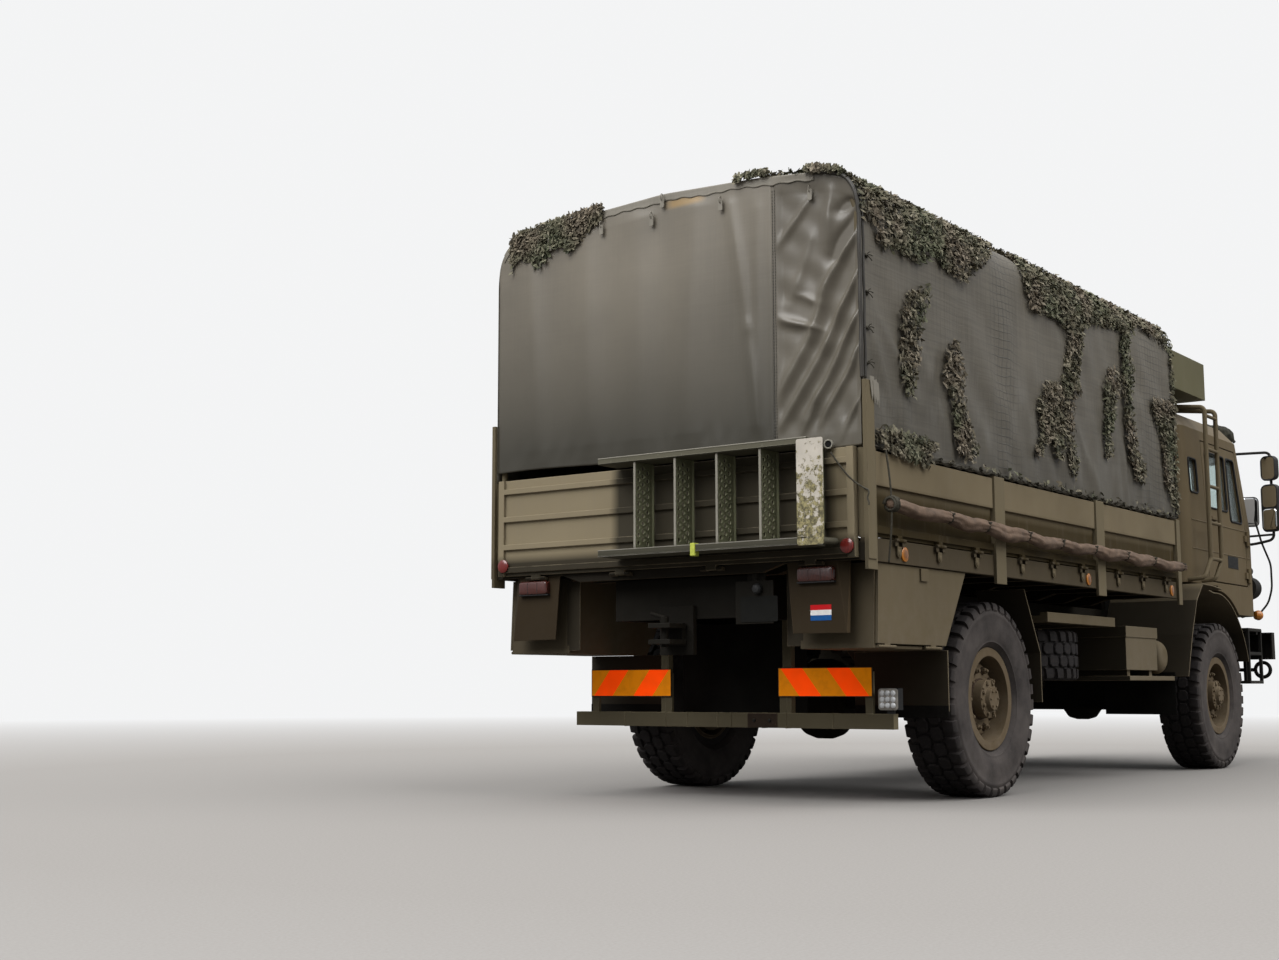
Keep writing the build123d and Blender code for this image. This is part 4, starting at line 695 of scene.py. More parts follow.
def crates(rows, edge=0.002):
    """Boxes with their edges cut off, from rows of (x0, x1, y0, y1, z0, z1)."""
    rows = np.asarray(rows, float).reshape(-1, 3, 2)
    middle, half = rows.mean(-1), (rows[..., 1] - rows[..., 0]) / 2
    signs = np.array([(x, y, z) for x in (-1, 1) for y in (-1, 1) for z in (-1, 1)], float)
    kept = np.repeat(1.0 - np.eye(3), 8, axis=0)
    edges = np.minimum(edge, 0.45 * half.min(-1))[:, None, None]
    points = middle[:, None] + np.tile(signs, (3, 1)) * (half[:, None] - edges * kept)
    corner = np.arange(8)
    quads = [(8 * k + corner[signs[:, k] == s])[[0, 1, 3, 2]] for k in range(3) for s in (-1, 1)]
    for k in range(3):
        other = [axis for axis in range(3) if axis != k]
        for s in (-1, 1):
            for t in (-1, 1):
                pair = corner[(signs[:, other[0]] == s) & (signs[:, other[1]] == t)]
                quads.append((8 * other[0] + pair[0], 8 * other[0] + pair[1],
                              8 * other[1] + pair[1], 8 * other[1] + pair[0]))
    triangles = np.stack((corner, 8 + corner, 16 + corner), -1)
    step = 24 * np.arange(len(rows))[:, None, None]
    return points.reshape(-1, 3), [(np.array(quads)[None] + step).reshape(-1, 4),
                                   (triangles[None] + step).reshape(-1, 3)]


def crate_piece(name, body, slot, finish, rows, edge):
    """One piece of crates with flat faces."""
    make_piece(name, body, slot, finish, *crates(rows, edge), smooth=False)


def thicken(made, thickness, offset):
    """Thickness for a sheet: an offset of -1 puts it behind the sheet and 1 in front."""
    cloth = made.modifiers.new("cloth", "SOLIDIFY")
    cloth.thickness = thickness
    cloth.offset = offset


# %% [markdown]
# ## The canvas cover
#
# The cover is one sheet pulled over the bows from hem to hem. Its cross section is a line with softened
# corners, and the sheet is that line carried along the bed. Between the bows it sags, near the hem it
# puckers, and long soft creases run where the ropes pull. Each is a small push along the sheet's own
# normal, added up as waves.

# %% The cover's cross section, as points along a line from hem to hem
cover_rear, cover_front = -3.420, 1.141
hem_level = 1.797
hem_shift = 0.018
canvas_thickness = 0.002
bow_places = np.array((-3.385, -1.899, -0.389, 1.071))
half_line = np.array(((1.205, hem_level), (1.205, 2.99), (1.188, 3.105), (1.130, 3.190), (1.00, 3.234),
                      (0.62, 3.272), (0, 3.30)))


def even(line, step):
    """The same line with a point at each equal step of its length."""
    run = np.concatenate(([0], np.cumsum(np.linalg.norm(np.diff(line, axis=0), axis=1))))
    at = np.linspace(0, run[-1], int(round(run[-1] / step)) + 1)
    return np.column_stack([np.interp(at, run, line[:, k]) for k in range(line.shape[1])])


def soften(line, width):
    """A running average that rounds corners and keeps both ends."""
    weights = np.ones(width) / width
    before, after = 2 * line[0] - line[width // 2:0:-1], 2 * line[-1] - line[-2:-width // 2 - 1:-1]
    padded = np.concatenate((before, line, after))
    return np.column_stack([np.convolve(padded[:, k], weights, "valid") for k in range(line.shape[1])])


whole_line = np.concatenate((half_line * (-1, 1), half_line[-2::-1]))
section = soften(even(whole_line, 0.007), 15)
section_run = np.concatenate(([0], np.cumsum(np.linalg.norm(np.diff(section, axis=0), axis=1))))
girth = section_run[-1]
slope = unit(np.gradient(section, axis=0))
section_normal = np.column_stack((-slope[:, 1], slope[:, 0]))
roof_part = section[(section[:, 0] >= 0) & (section[:, 1] > 2.9)]
print("girth of the cover", round(float(girth), 3))


def on_cover(x, run, proud=0.0):
    """A place on the cover from its x and its distance from the right hem, pushed out by proud metres."""
    y, z = (np.interp(run, section_run, section[:, k]) for k in (0, 1))
    normal_y, normal_z = (np.interp(run, section_run, section_normal[:, k]) for k in (0, 1))
    return np.stack((x + 0 * y, y + proud * normal_y, z + proud * normal_z), -1)


def roof_level(y):
    """The roof line's height above each y."""
    return np.interp(np.abs(y), roof_part[:, 0], roof_part[:, 1])


rng = np.random.default_rng(7)


def ripples(u, v, wavelength, angle, spread_angle, count, seed):
    """Creases: waves with nearly one direction, each bent by a slower wave, added up to about -1 to 1."""
    dice = np.random.default_rng(seed)
    total = np.zeros(np.broadcast(u, v).shape)
    for number in range(count):
        lean = angle + spread_angle * dice.uniform(-1, 1)
        length = wavelength * dice.uniform(0.7, 1.5)
        across = u * np.cos(lean) + v * np.sin(lean)
        along = v * np.cos(lean) - u * np.sin(lean)
        bent = across + 0.25 * length * np.sin(along * 2.1 / length / 3 + dice.uniform(0, 6.3))
        patch = 0.5 + 0.5 * np.sin(along * 2.2 + across * 1.3 + dice.uniform(0, 6.3))
        total = total + patch * np.sin(2 * np.pi * bent / length + dice.uniform(0, 6.3))
    return total / np.sqrt(count)


def folds_from(u, v, rows):
    """Folds drawn one by one: each is a ridge from (u, v) to (u, v) with a width at both ends and a
    height."""
    total = np.zeros(np.broadcast(u, v).shape)
    for u0, v0, u1, v1, wide0, wide1, height in rows:
        length = np.hypot(u1 - u0, v1 - v0)
        share = ((u - u0) * (u1 - u0) + (v - v0) * (v1 - v0)) / length ** 2
        away = ((u - u0) * (v1 - v0) - (v - v0) * (u1 - u0)) / length
        away = away + 0.10 * wide0 * np.sin(5 * share + 9 * u0)
        held = np.clip(share, 0, 1)
        wide = wide0 + (wide1 - wide0) * held
        past = np.abs(share - held) * length
        fade = np.exp(-(past / 0.05) ** 2) * (0.55 + 0.45 * np.sin(np.pi * held))
        total = total + height * fade * np.exp(-np.abs(away / wide) ** 1.7)
    return total


# %% [markdown]
# The sheet is a grid of 165 by 185 points. Its x runs along the bed, and its other number is the distance
# from the right hem. Purlins hold the roof up along three lines, so the cloth only sags between them.

# %% The cover's sheet over the sides and the roof
cover_columns, cover_rows = 165, 185
x = np.linspace(cover_rear, cover_front, cover_columns)[None, :]
run = np.linspace(0, girth, cover_rows)[:, None]
height_up = np.interp(run, section_run, section[:, 1])
across_at = np.interp(run, section_run, section[:, 0])
on_roof = np.clip((height_up - 3.14) / 0.08, 0, 1)
on_side = 1 - on_roof
between = np.min(np.abs(x[..., None] - bow_places), -1)
bay_share = np.clip(between / 0.75, 0, 1)
off_purlin = 1 - np.exp(-((np.min(np.abs(np.abs(across_at)[..., None] - (0.0, 0.62)), -1)) / 0.13) ** 2)
sag = -0.024 * on_roof * off_purlin * np.sin(np.pi * bay_share / 2) ** 2 - 0.005 * on_side * bay_share
near_hem = np.exp(-run / 0.28) + np.exp(-(girth - run) / 0.28)
tall = 0.005 * ripples(x, run, 0.26, 0.0, 0.18, 5, 3) * on_side
slant = 0.006 * ripples(x, run, 0.34, 0.55, 0.4, 5, 11) * on_side
pucker = 0.008 * ripples(x, run, 0.16, 0.1, 0.35, 4, 5) * near_hem
crumple = 0.016 * ripples(x, run, 0.20, 0.9, 0.7, 6, 23)
crumple = crumple * np.exp(-((x + 2.95) / 0.45) ** 2 - ((run - 0.42) / 0.30) ** 2)
# Long folds that the front ropes pull in, as (x, run) to (x, run)
side_folds = ((-0.35, 0.05, -0.75, 0.55, 0.05, 0.03, 0.010), (0.62, 0.10, 0.50, 0.75, 0.04, 0.05, 0.012),
              (0.20, 0.08, 0.05, 0.60, 0.04, 0.05, 0.010), (-3.30, 0.55, -3.10, 0.20, 0.03, 0.05, 0.016),
              (-3.22, 0.66, -2.86, 0.34, 0.03, 0.06, 0.014), (-2.75, 0.30, -2.60, 0.62, 0.05, 0.03, 0.012),
              (-1.75, 0.06, -1.62, 0.90, 0.05, 0.04, 0.008), (0.95, 0.05, 1.02, 0.95, 0.04, 0.03, 0.010))
pulled = folds_from(x, run, side_folds)
bow_print = 0.006 * np.exp(-(between / 0.05) ** 2) * on_side
edge_hold = np.clip((x - cover_rear) / 0.12, 0, 1) * np.clip((cover_front - x) / 0.12, 0, 1)
push = (sag + (tall + slant + pucker + crumple + pulled) * edge_hold + bow_print) * np.clip(run / 0.03, 0.3, 1)
push = np.clip(push, -0.030, 0.020)
points = on_cover(x + 0 * run, run + 0 * x, push)
hem_wave = 0.004 * np.sin(x * 46) * np.exp(-run / 0.02)
points[..., 2] += hem_wave
cover_faces = grid_faces(cover_rows, cover_columns)
cover_sheet = make_piece("cover_sheet", "chassis", "canvas", side_canvas, points.reshape(-1, 3), [cover_faces],
                         closed=False, stands_for=("canopy",))
thicken(cover_sheet, canvas_thickness, -1)

# %% [markdown]
# ## The rear flap and the front wall
#
# The rear flap is two cloths that meet in a stitched seam right of the middle. The left one hangs nearly
# flat in long soft folds. The right one is pulled to the corner post, so hard satin ridges run from the
# seam's foot up to the corner. The folds are drawn one by one, each as a ridge with a width at both ends,
# and a finer random crease is laid over them. The columns of points stand closer together on the right.

# %% The flap's grid and its folds
seam_y = -0.70
# Ridges right of the seam, from (y, z) to (y, z), width at both ends and height
rear_ridges = (
    (-0.72, 2.10, -0.93, 2.39, 0.045, 0.034, 0.027), (-0.93, 2.39, -1.01, 2.62, 0.034, 0.030, 0.026),
    (-1.01, 2.62, -1.20, 2.91, 0.034, 0.014, 0.032), (-0.74, 1.95, -1.01, 2.32, 0.034, 0.028, 0.024),
    (-1.01, 2.32, -1.20, 2.70, 0.028, 0.012, 0.027), (-0.88, 1.97, -1.06, 2.23, 0.026, 0.022, 0.019),
    (-1.06, 2.23, -1.20, 2.50, 0.022, 0.010, 0.023), (-0.98, 1.95, -1.15, 2.21, 0.022, 0.017, 0.017),
    (-1.15, 2.21, -1.20, 2.33, 0.017, 0.010, 0.018), (-1.10, 1.88, -1.20, 2.06, 0.020, 0.010, 0.015),
    (-0.71, 2.51, -0.93, 2.43, 0.030, 0.012, 0.020), (-0.95, 2.56, -0.87, 2.60, 0.022, 0.018, 0.010),
    (-1.06, 2.79, -1.17, 2.96, 0.045, 0.026, -0.034), (-0.73, 2.90, -0.92, 3.10, 0.026, 0.020, 0.013),
    (-1.02, 2.84, -1.04, 3.12, 0.040, 0.030, 0.016), (-0.80, 2.58, -0.92, 2.88, 0.040, 0.026, 0.010),
    (-1.10, 3.03, -1.19, 3.06, 0.030, 0.015, -0.026), (-0.84, 1.86, -0.94, 2.03, 0.024, 0.018, 0.012),
)
# Long soft folds left of the seam
left_ridges = (
    (-0.20, 3.20, -0.15, 1.90, 0.100, 0.100, 0.012), (-0.44, 3.15, -0.54, 2.49, 0.035, 0.030, 0.010),
    (-0.54, 2.49, -0.60, 1.95, 0.030, 0.030, 0.010),
    (0.15, 3.20, 0.20, 1.90, 0.120, 0.110, 0.010), (0.55, 3.20, 0.50, 1.90, 0.090, 0.120, 0.011),
    (0.95, 3.10, 0.90, 1.90, 0.080, 0.090, 0.012), (-0.62, 3.10, -0.60, 1.90, 0.030, 0.030, 0.007),
)


def rear_folds(y, z):
    """Left of the seam long upright folds. Right of it, the drawn ridges with finer creases over them."""
    left = np.clip((y - seam_y) / 0.12, 0, 1)
    to_right = np.clip((seam_y - y) / 0.05, 0, 1) * np.clip((y + 1.205) / 0.03, 0, 1)
    upright = 0.004 * ripples(y, z, 0.55, 0.05, 0.12, 5, 31) + 1.5 * folds_from(y, z, left_ridges)
    creases = 0.0035 * ripples(y, z, 0.12, -0.75, 0.4, 6, 41)
    drawn = 1.35 * folds_from(y, z, rear_ridges) - 0.014 + creases
    pinch = 0.006 * ripples(y, z, 0.10, 0.2, 0.3, 4, 43) * np.exp(-((z - 1.85) / 0.10) ** 2)
    held = np.clip((roof_level(y) - z) / 0.10, 0, 1)
    low = np.clip((z - 1.80) / 0.16, 0.45, 1)
    seam = -0.008 * np.exp(-((y - seam_y) / 0.010) ** 2)
    return np.clip((left * upright + to_right * drawn + pinch) * held * low + seam, -0.030, 0.044)


def end_wall(name, x, outward, push, y, rows, hem, finish):
    """A cloth across one end: y runs across, and a share runs from the hem up to the roof line."""
    y = np.asarray(y)[None, :]
    share = np.linspace(0, 1, rows)[:, None]
    low = hem(y)
    z = low + share * (roof_level(y) - 0.004 - low)
    proud = push(y + 0 * z, z)
    points = np.stack((x + outward * proud, y + 0 * z, z), -1).reshape(-1, 3)
    faces = grid_faces(rows, y.shape[1])
    made = make_piece(name, "chassis", "canvas", finish, points, [faces if outward > 0 else faces[:, ::-1]],
                      closed=False)
    thicken(made, canvas_thickness, -1)


rear_columns = np.concatenate((np.linspace(-1.198, -0.66, 100), np.linspace(-0.66, 1.198, 111)[1:]))
end_wall("rear_flap", cover_rear - 0.003, -1, rear_folds, rear_columns, 150,
         lambda y: 1.848 - 0.040 / (1 + np.exp((y + 0.86) / 0.02)) - 0.006 * np.sin(5 * y), rear_canvas)
end_wall("front_wall", cover_front - 0.004, 1, lambda y, z: 0.004 * ripples(y, z, 0.5, 0.1, 0.2, 4, 51),
         np.linspace(-1.198, 1.198, 60), 50, lambda y: 1.82 + 0 * y, rear_canvas)

# %% [markdown]
# ## Trim along the cover's edges
#
# A pale valance runs along the roof's rear edge. From the corner post up over the shoulder the flap and the
# side are laced together: two round piped edges, with a knot every twenty centimetres. A thin rope holds
# the hem down along the boards. The seam is two rows of stitches, and above the post a torn tab hangs out.

# %% Valance, piping and seam
across = np.linspace(-0.95, 1.16, 120)[None, :]
drop = np.linspace(0, 1, 9)[:, None]
level = roof_level(across) + 0.003 - drop * (0.044 + 0.004 * np.sin(across * 17) + 0.004 * np.sin(across * 61))
proud = np.maximum(rear_folds(across + 0 * level, level), -0.004) + 0.0022
points = np.stack((cover_rear - 0.003 - proud, across + 0 * level, level), -1).reshape(-1, 3)
valance = make_piece("valance", "chassis", "canvas", trim_canvas, points, [grid_faces(9, 120)], closed=False)
thicken(valance, 0.001, 1)

edge_run = np.linspace(0.345, np.interp(-0.98, section[:, 0], section_run), 170)
wander = 0.0025 * np.sin(edge_run * 23)
flap_edge = on_cover(cover_rear - 0.006 + wander, edge_run, 0.004)
cover_edge = on_cover(cover_rear + 0.026 - wander, edge_run, 0.005)
piping = joined([carried(line, size, 8, beside=(1, 0, 0)) for line, size in
                 ((flap_edge, 0.0110), (cover_edge, 0.0095))])
make_piece("corner_piping", "chassis", "canvas", dark_trim, *piping)

seam_level = np.arange(1.86, 3.20, 0.016)
stitch_rows = np.concatenate([np.column_stack((0 * seam_level + y, seam_level)) for y in (-0.694, -0.708)])
stitch_proud = rear_folds(stitch_rows[:, 0], stitch_rows[:, 1])
stitch = spun(((0.0008, -0.0065), (0.0022, -0.004), (0.0022, 0.004), (0.0008, 0.0065)), 6)
places = np.column_stack((cover_rear - 0.0035 - stitch_proud, stitch_rows))
make_piece("seam_stitches", "chassis", "canvas", dark_trim, *repeated(stitch, places))
print("stitches", len(places))


# %% [markdown]
# A knot is a short rope along a closed knotted curve. Its line is the usual trefoil: two turns one way
# while the other way goes round three times.

# %% Knots, lacing, toggles and the torn tab
def knot(size, thick):
    """A small rope knot: a trefoil line carried as a tube."""
    t = full_turn(26)
    line = np.column_stack((np.sin(t) + 2 * np.sin(2 * t), np.cos(t) - 2 * np.cos(2 * t), -np.sin(3 * t)))
    line = line * size / 3
    return carried(line, thick, 6, beside=(0.01, 0.02, 1), loop=True)


def turned_at_random(count, dice):
    """Axes with a random turn for each copy."""
    first = unit(dice.normal(0, 1, (count, 3)))
    second = unit(np.cross(first, dice.normal(0, 1, (count, 3))))
    return np.stack((first, second, np.cross(first, second)), 1)


lace_x = np.linspace(-3.33, 1.12, 700)
lace_level = 1.806 + 0.005 * np.sin(lace_x * 47) + 0.003 * np.sin(lace_x * 19)
lacing = carried(np.column_stack((lace_x, -1.216 - 0.003 * np.sin(lace_x * 31), lace_level)), 0.0045, 6)
knot_count = 30
knot_x = np.arange(-2.62, 1.10, 0.128) + rng.uniform(-0.02, 0.02, knot_count)
knot_z = 1.812 + rng.uniform(-0.006, 0.010, knot_count)
knot_places = np.column_stack((knot_x, np.full(knot_count, -1.222), knot_z))
edge_knots = np.array([on_cover(-3.372, z - hem_level, 0.010) for z in (2.77, 2.58, 2.40, 2.22)])
front_knots = np.array([on_cover(1.118, z - hem_level, 0.010) for z in np.arange(1.95, 3.0, 0.17)])
knot_places = np.concatenate((knot_places, edge_knots, front_knots))
knots = repeated(knot(0.013, 0.0042), knot_places, turned_at_random(len(knot_places), np.random.default_rng(3)))
tails = [carried(place + np.array((0.0, -0.004, 0.0)) + np.linspace(0, 1, 6)[:, None] * (reach, -0.010, fall)
                 + np.array((0, 0, 1.0)) * np.sin(np.linspace(0, 3, 6))[:, None] * 0.006, 0.0028, 5,
                 beside=(0, 1, 0.2))
         for place in edge_knots for reach, fall in ((0.045, 0.004), (0.038, -0.022), (0.020, 0.02))]
front_run = np.linspace(0.02, 1.20, 120)
front_rope = on_cover(1.128 + 0.004 * np.sin(front_run * 30), front_run, 0.008)
front_rope = carried(front_rope, 0.006, 6, beside=(1, 0, 0))
make_piece("hem_lacing", "chassis", "net_cloth", rope_fibre, *joined([lacing, knots, front_rope] + tails))

flat_tab = slab(rounded(0.026, 0.058, 0.006, 4), 0.006)
peg = (flat_tab[0] @ np.array(((0, 1.0, 0), (0, 0, 1.0), (1.0, 0, 0))), flat_tab[1])
toggle_spots = np.array(((0.0, 3.252), (0.07, 3.160), (-0.385, 3.165), (-0.93, 3.125), (0.42, 3.17),
                         (0.80, 3.14)))
toggle_places = np.column_stack((cover_rear - 0.024 - rear_folds(*toggle_spots.T), toggle_spots))
t = full_turn(14)
loops = carried(np.column_stack((0.012 * np.cos(t), 0 * t, 0.030 + 0.018 * np.sin(t))), 0.0025, 6,
                beside=(0, 1, 0), loop=True)
make_piece("toggles", "chassis", "canvas", trim_canvas,
           *joined([repeated(peg, toggle_places), repeated(loops, toggle_places)]), sharp=40)

tab = np.array(((0, 0), (0.042, 0.0), (0.050, -0.06), (0.044, -0.130), (0.030, -0.085), (0.022, -0.120),
                (0.010, -0.065)))
tab_shape = slab(tab, 0.002)
tab_axes = np.array([((c, 0, s * 0.3), (0, 0, 1), (0, -1, 0)) for c, s in ((1, 0), (0.9, 1), (0.8, -1))], float)
tab_places = ((-3.402, -1.239, 2.150), (-3.375, -1.241, 2.128), (-3.345, -1.238, 2.135))
make_piece("torn_tab", "chassis", "canvas", trim_canvas, *repeated(tab_shape, tab_places, tab_axes),
           smooth=False)

# %% [markdown]
# ## The scrim net
#
# A scrim net is cord with strips of cut cloth tied in. Seen from the road it is thousands of small curled
# leaves. One leaf is a strip of two quads, bent in the middle. Places are drawn at random over the patches
# where the net lies, mapped onto the cover, and all leaves are made at once. A number on each leaf says how
# light it is, and broad grain picks between green and brown.

# %% Leaf cloth and the leaves' places
leaf_cloth, tree, shader, place = new_material("leaf_cloth")
tone = tree.nodes.new("ShaderNodeAttribute")
tone.attribute_name = "leaf_tone"
broad = spread(tree, noise(tree, place, 3.2, 3), 0.38, 0.62)
greens = tree.nodes.new("ShaderNodeValToRGB")
greens.color_ramp.elements[0].color = (0.034, 0.040, 0.022, 1)
greens.color_ramp.elements[1].color = (0.240, 0.225, 0.155, 1)
middle = greens.color_ramp.elements.new(0.5)
middle.color = (0.105, 0.110, 0.062, 1)
browns = tree.nodes.new("ShaderNodeValToRGB")
browns.color_ramp.elements[0].color = (0.045, 0.037, 0.025, 1)
browns.color_ramp.elements[1].color = (0.290, 0.245, 0.185, 1)
middle = browns.color_ramp.elements.new(0.5)
middle.color = (0.150, 0.120, 0.082, 1)
tree.links.new(tone.outputs["Fac"], greens.inputs[0])
tree.links.new(tone.outputs["Fac"], browns.inputs[0])
tree.links.new(blended(tree, broad, greens.outputs[0], browns.outputs[0]), shader.inputs["Base Color"])
shader.inputs["Roughness"].default_value = 0.9


def inside(points, outline):
    """Which points lie inside an outline, by counting the outline's edges that a level line crosses."""
    x, z = points[:, 0], points[:, 1]
    outline = np.asarray(outline)
    within = np.zeros(len(points), bool)
    for (x0, z0), (x1, z1) in zip(outline, np.roll(outline, -1, axis=0)):
        crosses = (z0 > z) != (z1 > z)
        at = x0 + (z - z0) * (x1 - x0) / (z1 - z0 if z1 != z0 else 1e-9)
        within ^= crosses & (x < at)
    return within


def scattered(outline, density, seed):
    """Random points inside an outline, a number of them to the square metre."""
    dice = np.random.default_rng(seed)
    low, high = np.min(outline, axis=0), np.max(outline, axis=0)
    count = int(density * np.prod(high - low))
    found = dice.uniform(low, high, (count, 2))
    return found[inside(found, outline)]


# Patches of net as leaves to the square metre, then (x, distance from the right hem) round the patch
patches = (
    (5600, ((-3.43, 1.9), (-3.43, 1.15), (-3.27, 1.15), (-3.25, 1.06), (-3.17, 1.03), (-3.04, 1.06),
            (-2.91, 1.04), (-2.75, 1.04), (-2.62, 1.12), (-2.51, 1.08), (-2.37, 1.05), (-2.25, 1.03),
            (-2.15, 1.12), (-2.0, 1.19), (-1.69, 1.41), (-1.66, 1.9))),
    (5600, ((-1.50, 1.9), (-1.44, 1.27), (-1.42, 1.16), (-1.36, 1.08), (-1.29, 1.05), (-1.14, 1.06),
            (-0.95, 1.07), (-0.81, 1.03), (-0.61, 1.02), (-0.44, 1.12), (-0.18, 1.16), (0.08, 1.18),
            (0.32, 1.21), (0.55, 1.30), (0.69, 1.27), (0.96, 1.24), (1.16, 1.17), (1.16, 1.9))),
    (6200, ((-2.92, 0.85), (-2.66, 0.94), (-2.7, 0.85), (-2.75, 0.77), (-2.79, 0.66), (-2.83, 0.52),
            (-2.88, 0.38), (-2.92, 0.29), (-2.97, 0.3), (-3.02, 0.39), (-3.05, 0.48), (-3.0, 0.62),
            (-3.02, 0.74))),
    (6200, ((-2.45, 0.66), (-2.35, 0.69), (-2.33, 0.6), (-2.29, 0.49), (-2.32, 0.36), (-2.26, 0.26),
            (-2.17, 0.16), (-2.12, 0.1), (-2.21, 0.05), (-2.37, 0.04), (-2.42, 0.15), (-2.44, 0.29),
            (-2.46, 0.39), (-2.54, 0.46), (-2.51, 0.55))),
    (6200, ((-0.73, 1.03), (-0.55, 1.04), (-0.56, 0.92), (-0.64, 0.75), (-0.61, 0.66), (-0.73, 0.58),
            (-0.76, 0.46), (-0.75, 0.33), (-0.7, 0.21), (-0.74, 0.09), (-0.81, 0.11), (-0.85, 0.26),
            (-0.87, 0.38), (-0.93, 0.28), (-0.93, 0.19), (-1.03, 0.18), (-1.09, 0.29), (-1.21, 0.25),
            (-1.29, 0.15), (-1.34, 0.17), (-1.26, 0.33), (-1.28, 0.47), (-1.18, 0.61), (-1.06, 0.67),
            (-0.96, 0.64), (-0.87, 0.74), (-0.82, 0.87))),
    (6200, ((-0.08, 0.9), (0.03, 0.9), (0.08, 0.79), (-0.03, 0.64), (-0.07, 0.47), (-0.12, 0.31),
            (-0.21, 0.27), (-0.21, 0.4), (-0.2, 0.59), (-0.21, 0.75))),
    (6200, ((0.17, 1.21), (0.31, 1.23), (0.26, 1.05), (0.34, 0.93), (0.28, 0.72), (0.32, 0.56), (0.35, 0.4),
            (0.5, 0.28), (0.46, 0.17), (0.32, 0.19), (0.23, 0.32), (0.17, 0.44), (0.17, 0.61), (0.16, 0.77),
            (0.14, 0.93), (0.12, 1.06))),
    (6200, ((0.72, 0.81), (0.92, 0.81), (1.13, 0.84), (1.16, 0.77), (1.16, 0.38), (1.14, 0.56), (1.1, 0.63),
            (1.08, 0.48), (1.02, 0.34), (1.05, 0.2), (1.08, 0.06), (0.97, 0.12), (0.9, 0.25), (0.87, 0.39),
            (0.86, 0.53), (0.76, 0.65), (0.7, 0.74))),
    (7000, ((-3.29, 0.09), (-3.11, 0.1), (-2.96, 0.09), (-2.79, 0.11), (-2.65, 0.1), (-2.64, 0.05),
            (-2.74, 0.02), (-2.77, -0.05), (-2.85, -0.06), (-2.96, -0.04), (-3.12, -0.04), (-3.24, -0.02),
            (-3.29, 0.02))),
    (3000, ((1.06, 0.02), (1.16, 0.02), (1.16, 1.18), (1.08, 1.18), (1.10, 0.6))),
    (500, ((-2.6, -0.005), (1.1, -0.005), (1.1, 0.035), (-2.6, 0.035))),
    (900, ((-3.43, 1.98), (-2.8, 2.1), (-2.0, 2.7), (-1.2, 2.2), (-0.4, 2.6), (0.5, 2.2), (1.15, 2.5),
           (1.15, 1.85), (-3.43, 1.85))),
    (1600, ((-2.9, 3.6), (-2.6, 3.2), (-1.6, 3.5), (-0.6, 3.3), (0.6, 3.6), (1.12, 3.4), (1.12, 4.3),
            (0.2, 4.5), (-0.9, 4.2), (-1.9, 4.6), (-2.8, 4.1), (-3.40, 4.4))),
)
on_sheet = [scattered(outline, density, seed) for seed, (density, outline) in enumerate(patches)]
on_sheet = np.concatenate(on_sheet) + rng.normal(0, 0.008, (sum(len(found) for found in on_sheet), 2))
on_sheet[:, 0] = np.clip(on_sheet[:, 0], cover_rear, cover_front)
lift = rng.uniform(0.004, 0.030, len(on_sheet))
below = on_sheet[:, 1] < 0.01
along_run = np.maximum(on_sheet[:, 1], 0) + hem_shift
roots = on_cover(on_sheet[:, 0], along_run, lift)
roots[:, 2] += np.minimum(on_sheet[:, 1], 0)
roots[:, 1] -= 0.020 * below
outward = unit(on_cover(on_sheet[:, 0], along_run, 1.0) - on_cover(on_sheet[:, 0], along_run, 0.0))


def edge_clump(count, y_range, drop, dice):
    """Leaves hanging over the roof's rear edge."""
    y = dice.uniform(*y_range, count)
    envelope = 0.35 + 0.65 * np.clip(4 * (y - y_range[0]), 0, 1) * (0.75 + 0.25 * np.sin(23 * y))
    fall = drop * envelope * dice.beta(1.3, 2.0, count)
    return np.column_stack((dice.uniform(cover_rear - 0.030, cover_rear - 0.008, count), y,
                            roof_level(y) + 0.035 - fall))


clumps = np.concatenate((edge_clump(2600, (0.42, 1.10), 0.26, rng), edge_clump(170, (-0.68, -0.47), 0.05, rng),
                         edge_clump(220, (-1.12, -0.90), 0.05, rng)))
roots = np.concatenate((roots, clumps))
outward = np.concatenate((outward, np.tile((-1.0, 0, 0), (len(clumps), 1))))


def leaves(roots, outward, dice):
    """Leaves of two bent quads. Each hangs roughly down its surface, turned and curled by its own amounts."""
    count = len(roots)
    down = unit(np.array((0, 0, -1.0)) - (outward @ (0, 0, -1.0))[:, None] * outward + 1e-4)
    side = np.cross(outward, down)
    swing = dice.normal(0, 1.1, count)[:, None]
    along = np.cos(swing) * down + np.sin(swing) * side
    across = np.cross(outward, along)
    tilt = dice.uniform(-0.2, 0.9, count)[:, None]
    along = np.cos(tilt) * along + np.sin(tilt) * outward
    roll_by = dice.uniform(-0.7, 0.7, count)[:, None]
    normal = np.cross(along, across)
    across = np.cos(roll_by) * across + np.sin(roll_by) * normal
    normal = np.cross(along, across)
    length = dice.uniform(0.024, 0.048, count)[:, None]
    width = length * dice.uniform(0.30, 0.55, count)[:, None]
    curl = length * dice.uniform(-0.25, 0.25, count)[:, None]
    rows = []
    for step, wide, bend in ((-0.5, 0.45, 0.0), (0.05, 1.0, 1.0), (0.5, 0.35, -0.3)):
        middle = roots + step * length * along + bend * curl * normal
        rows += [middle - wide * width / 2 * across, middle + wide * width / 2 * across]
    points = np.stack(rows, 1).reshape(-1, 3)
    quads = np.array(((0, 1, 3, 2), (2, 3, 5, 4)))
    return points, (quads[None] + 6 * np.arange(count)[:, None, None]).reshape(-1, 4)


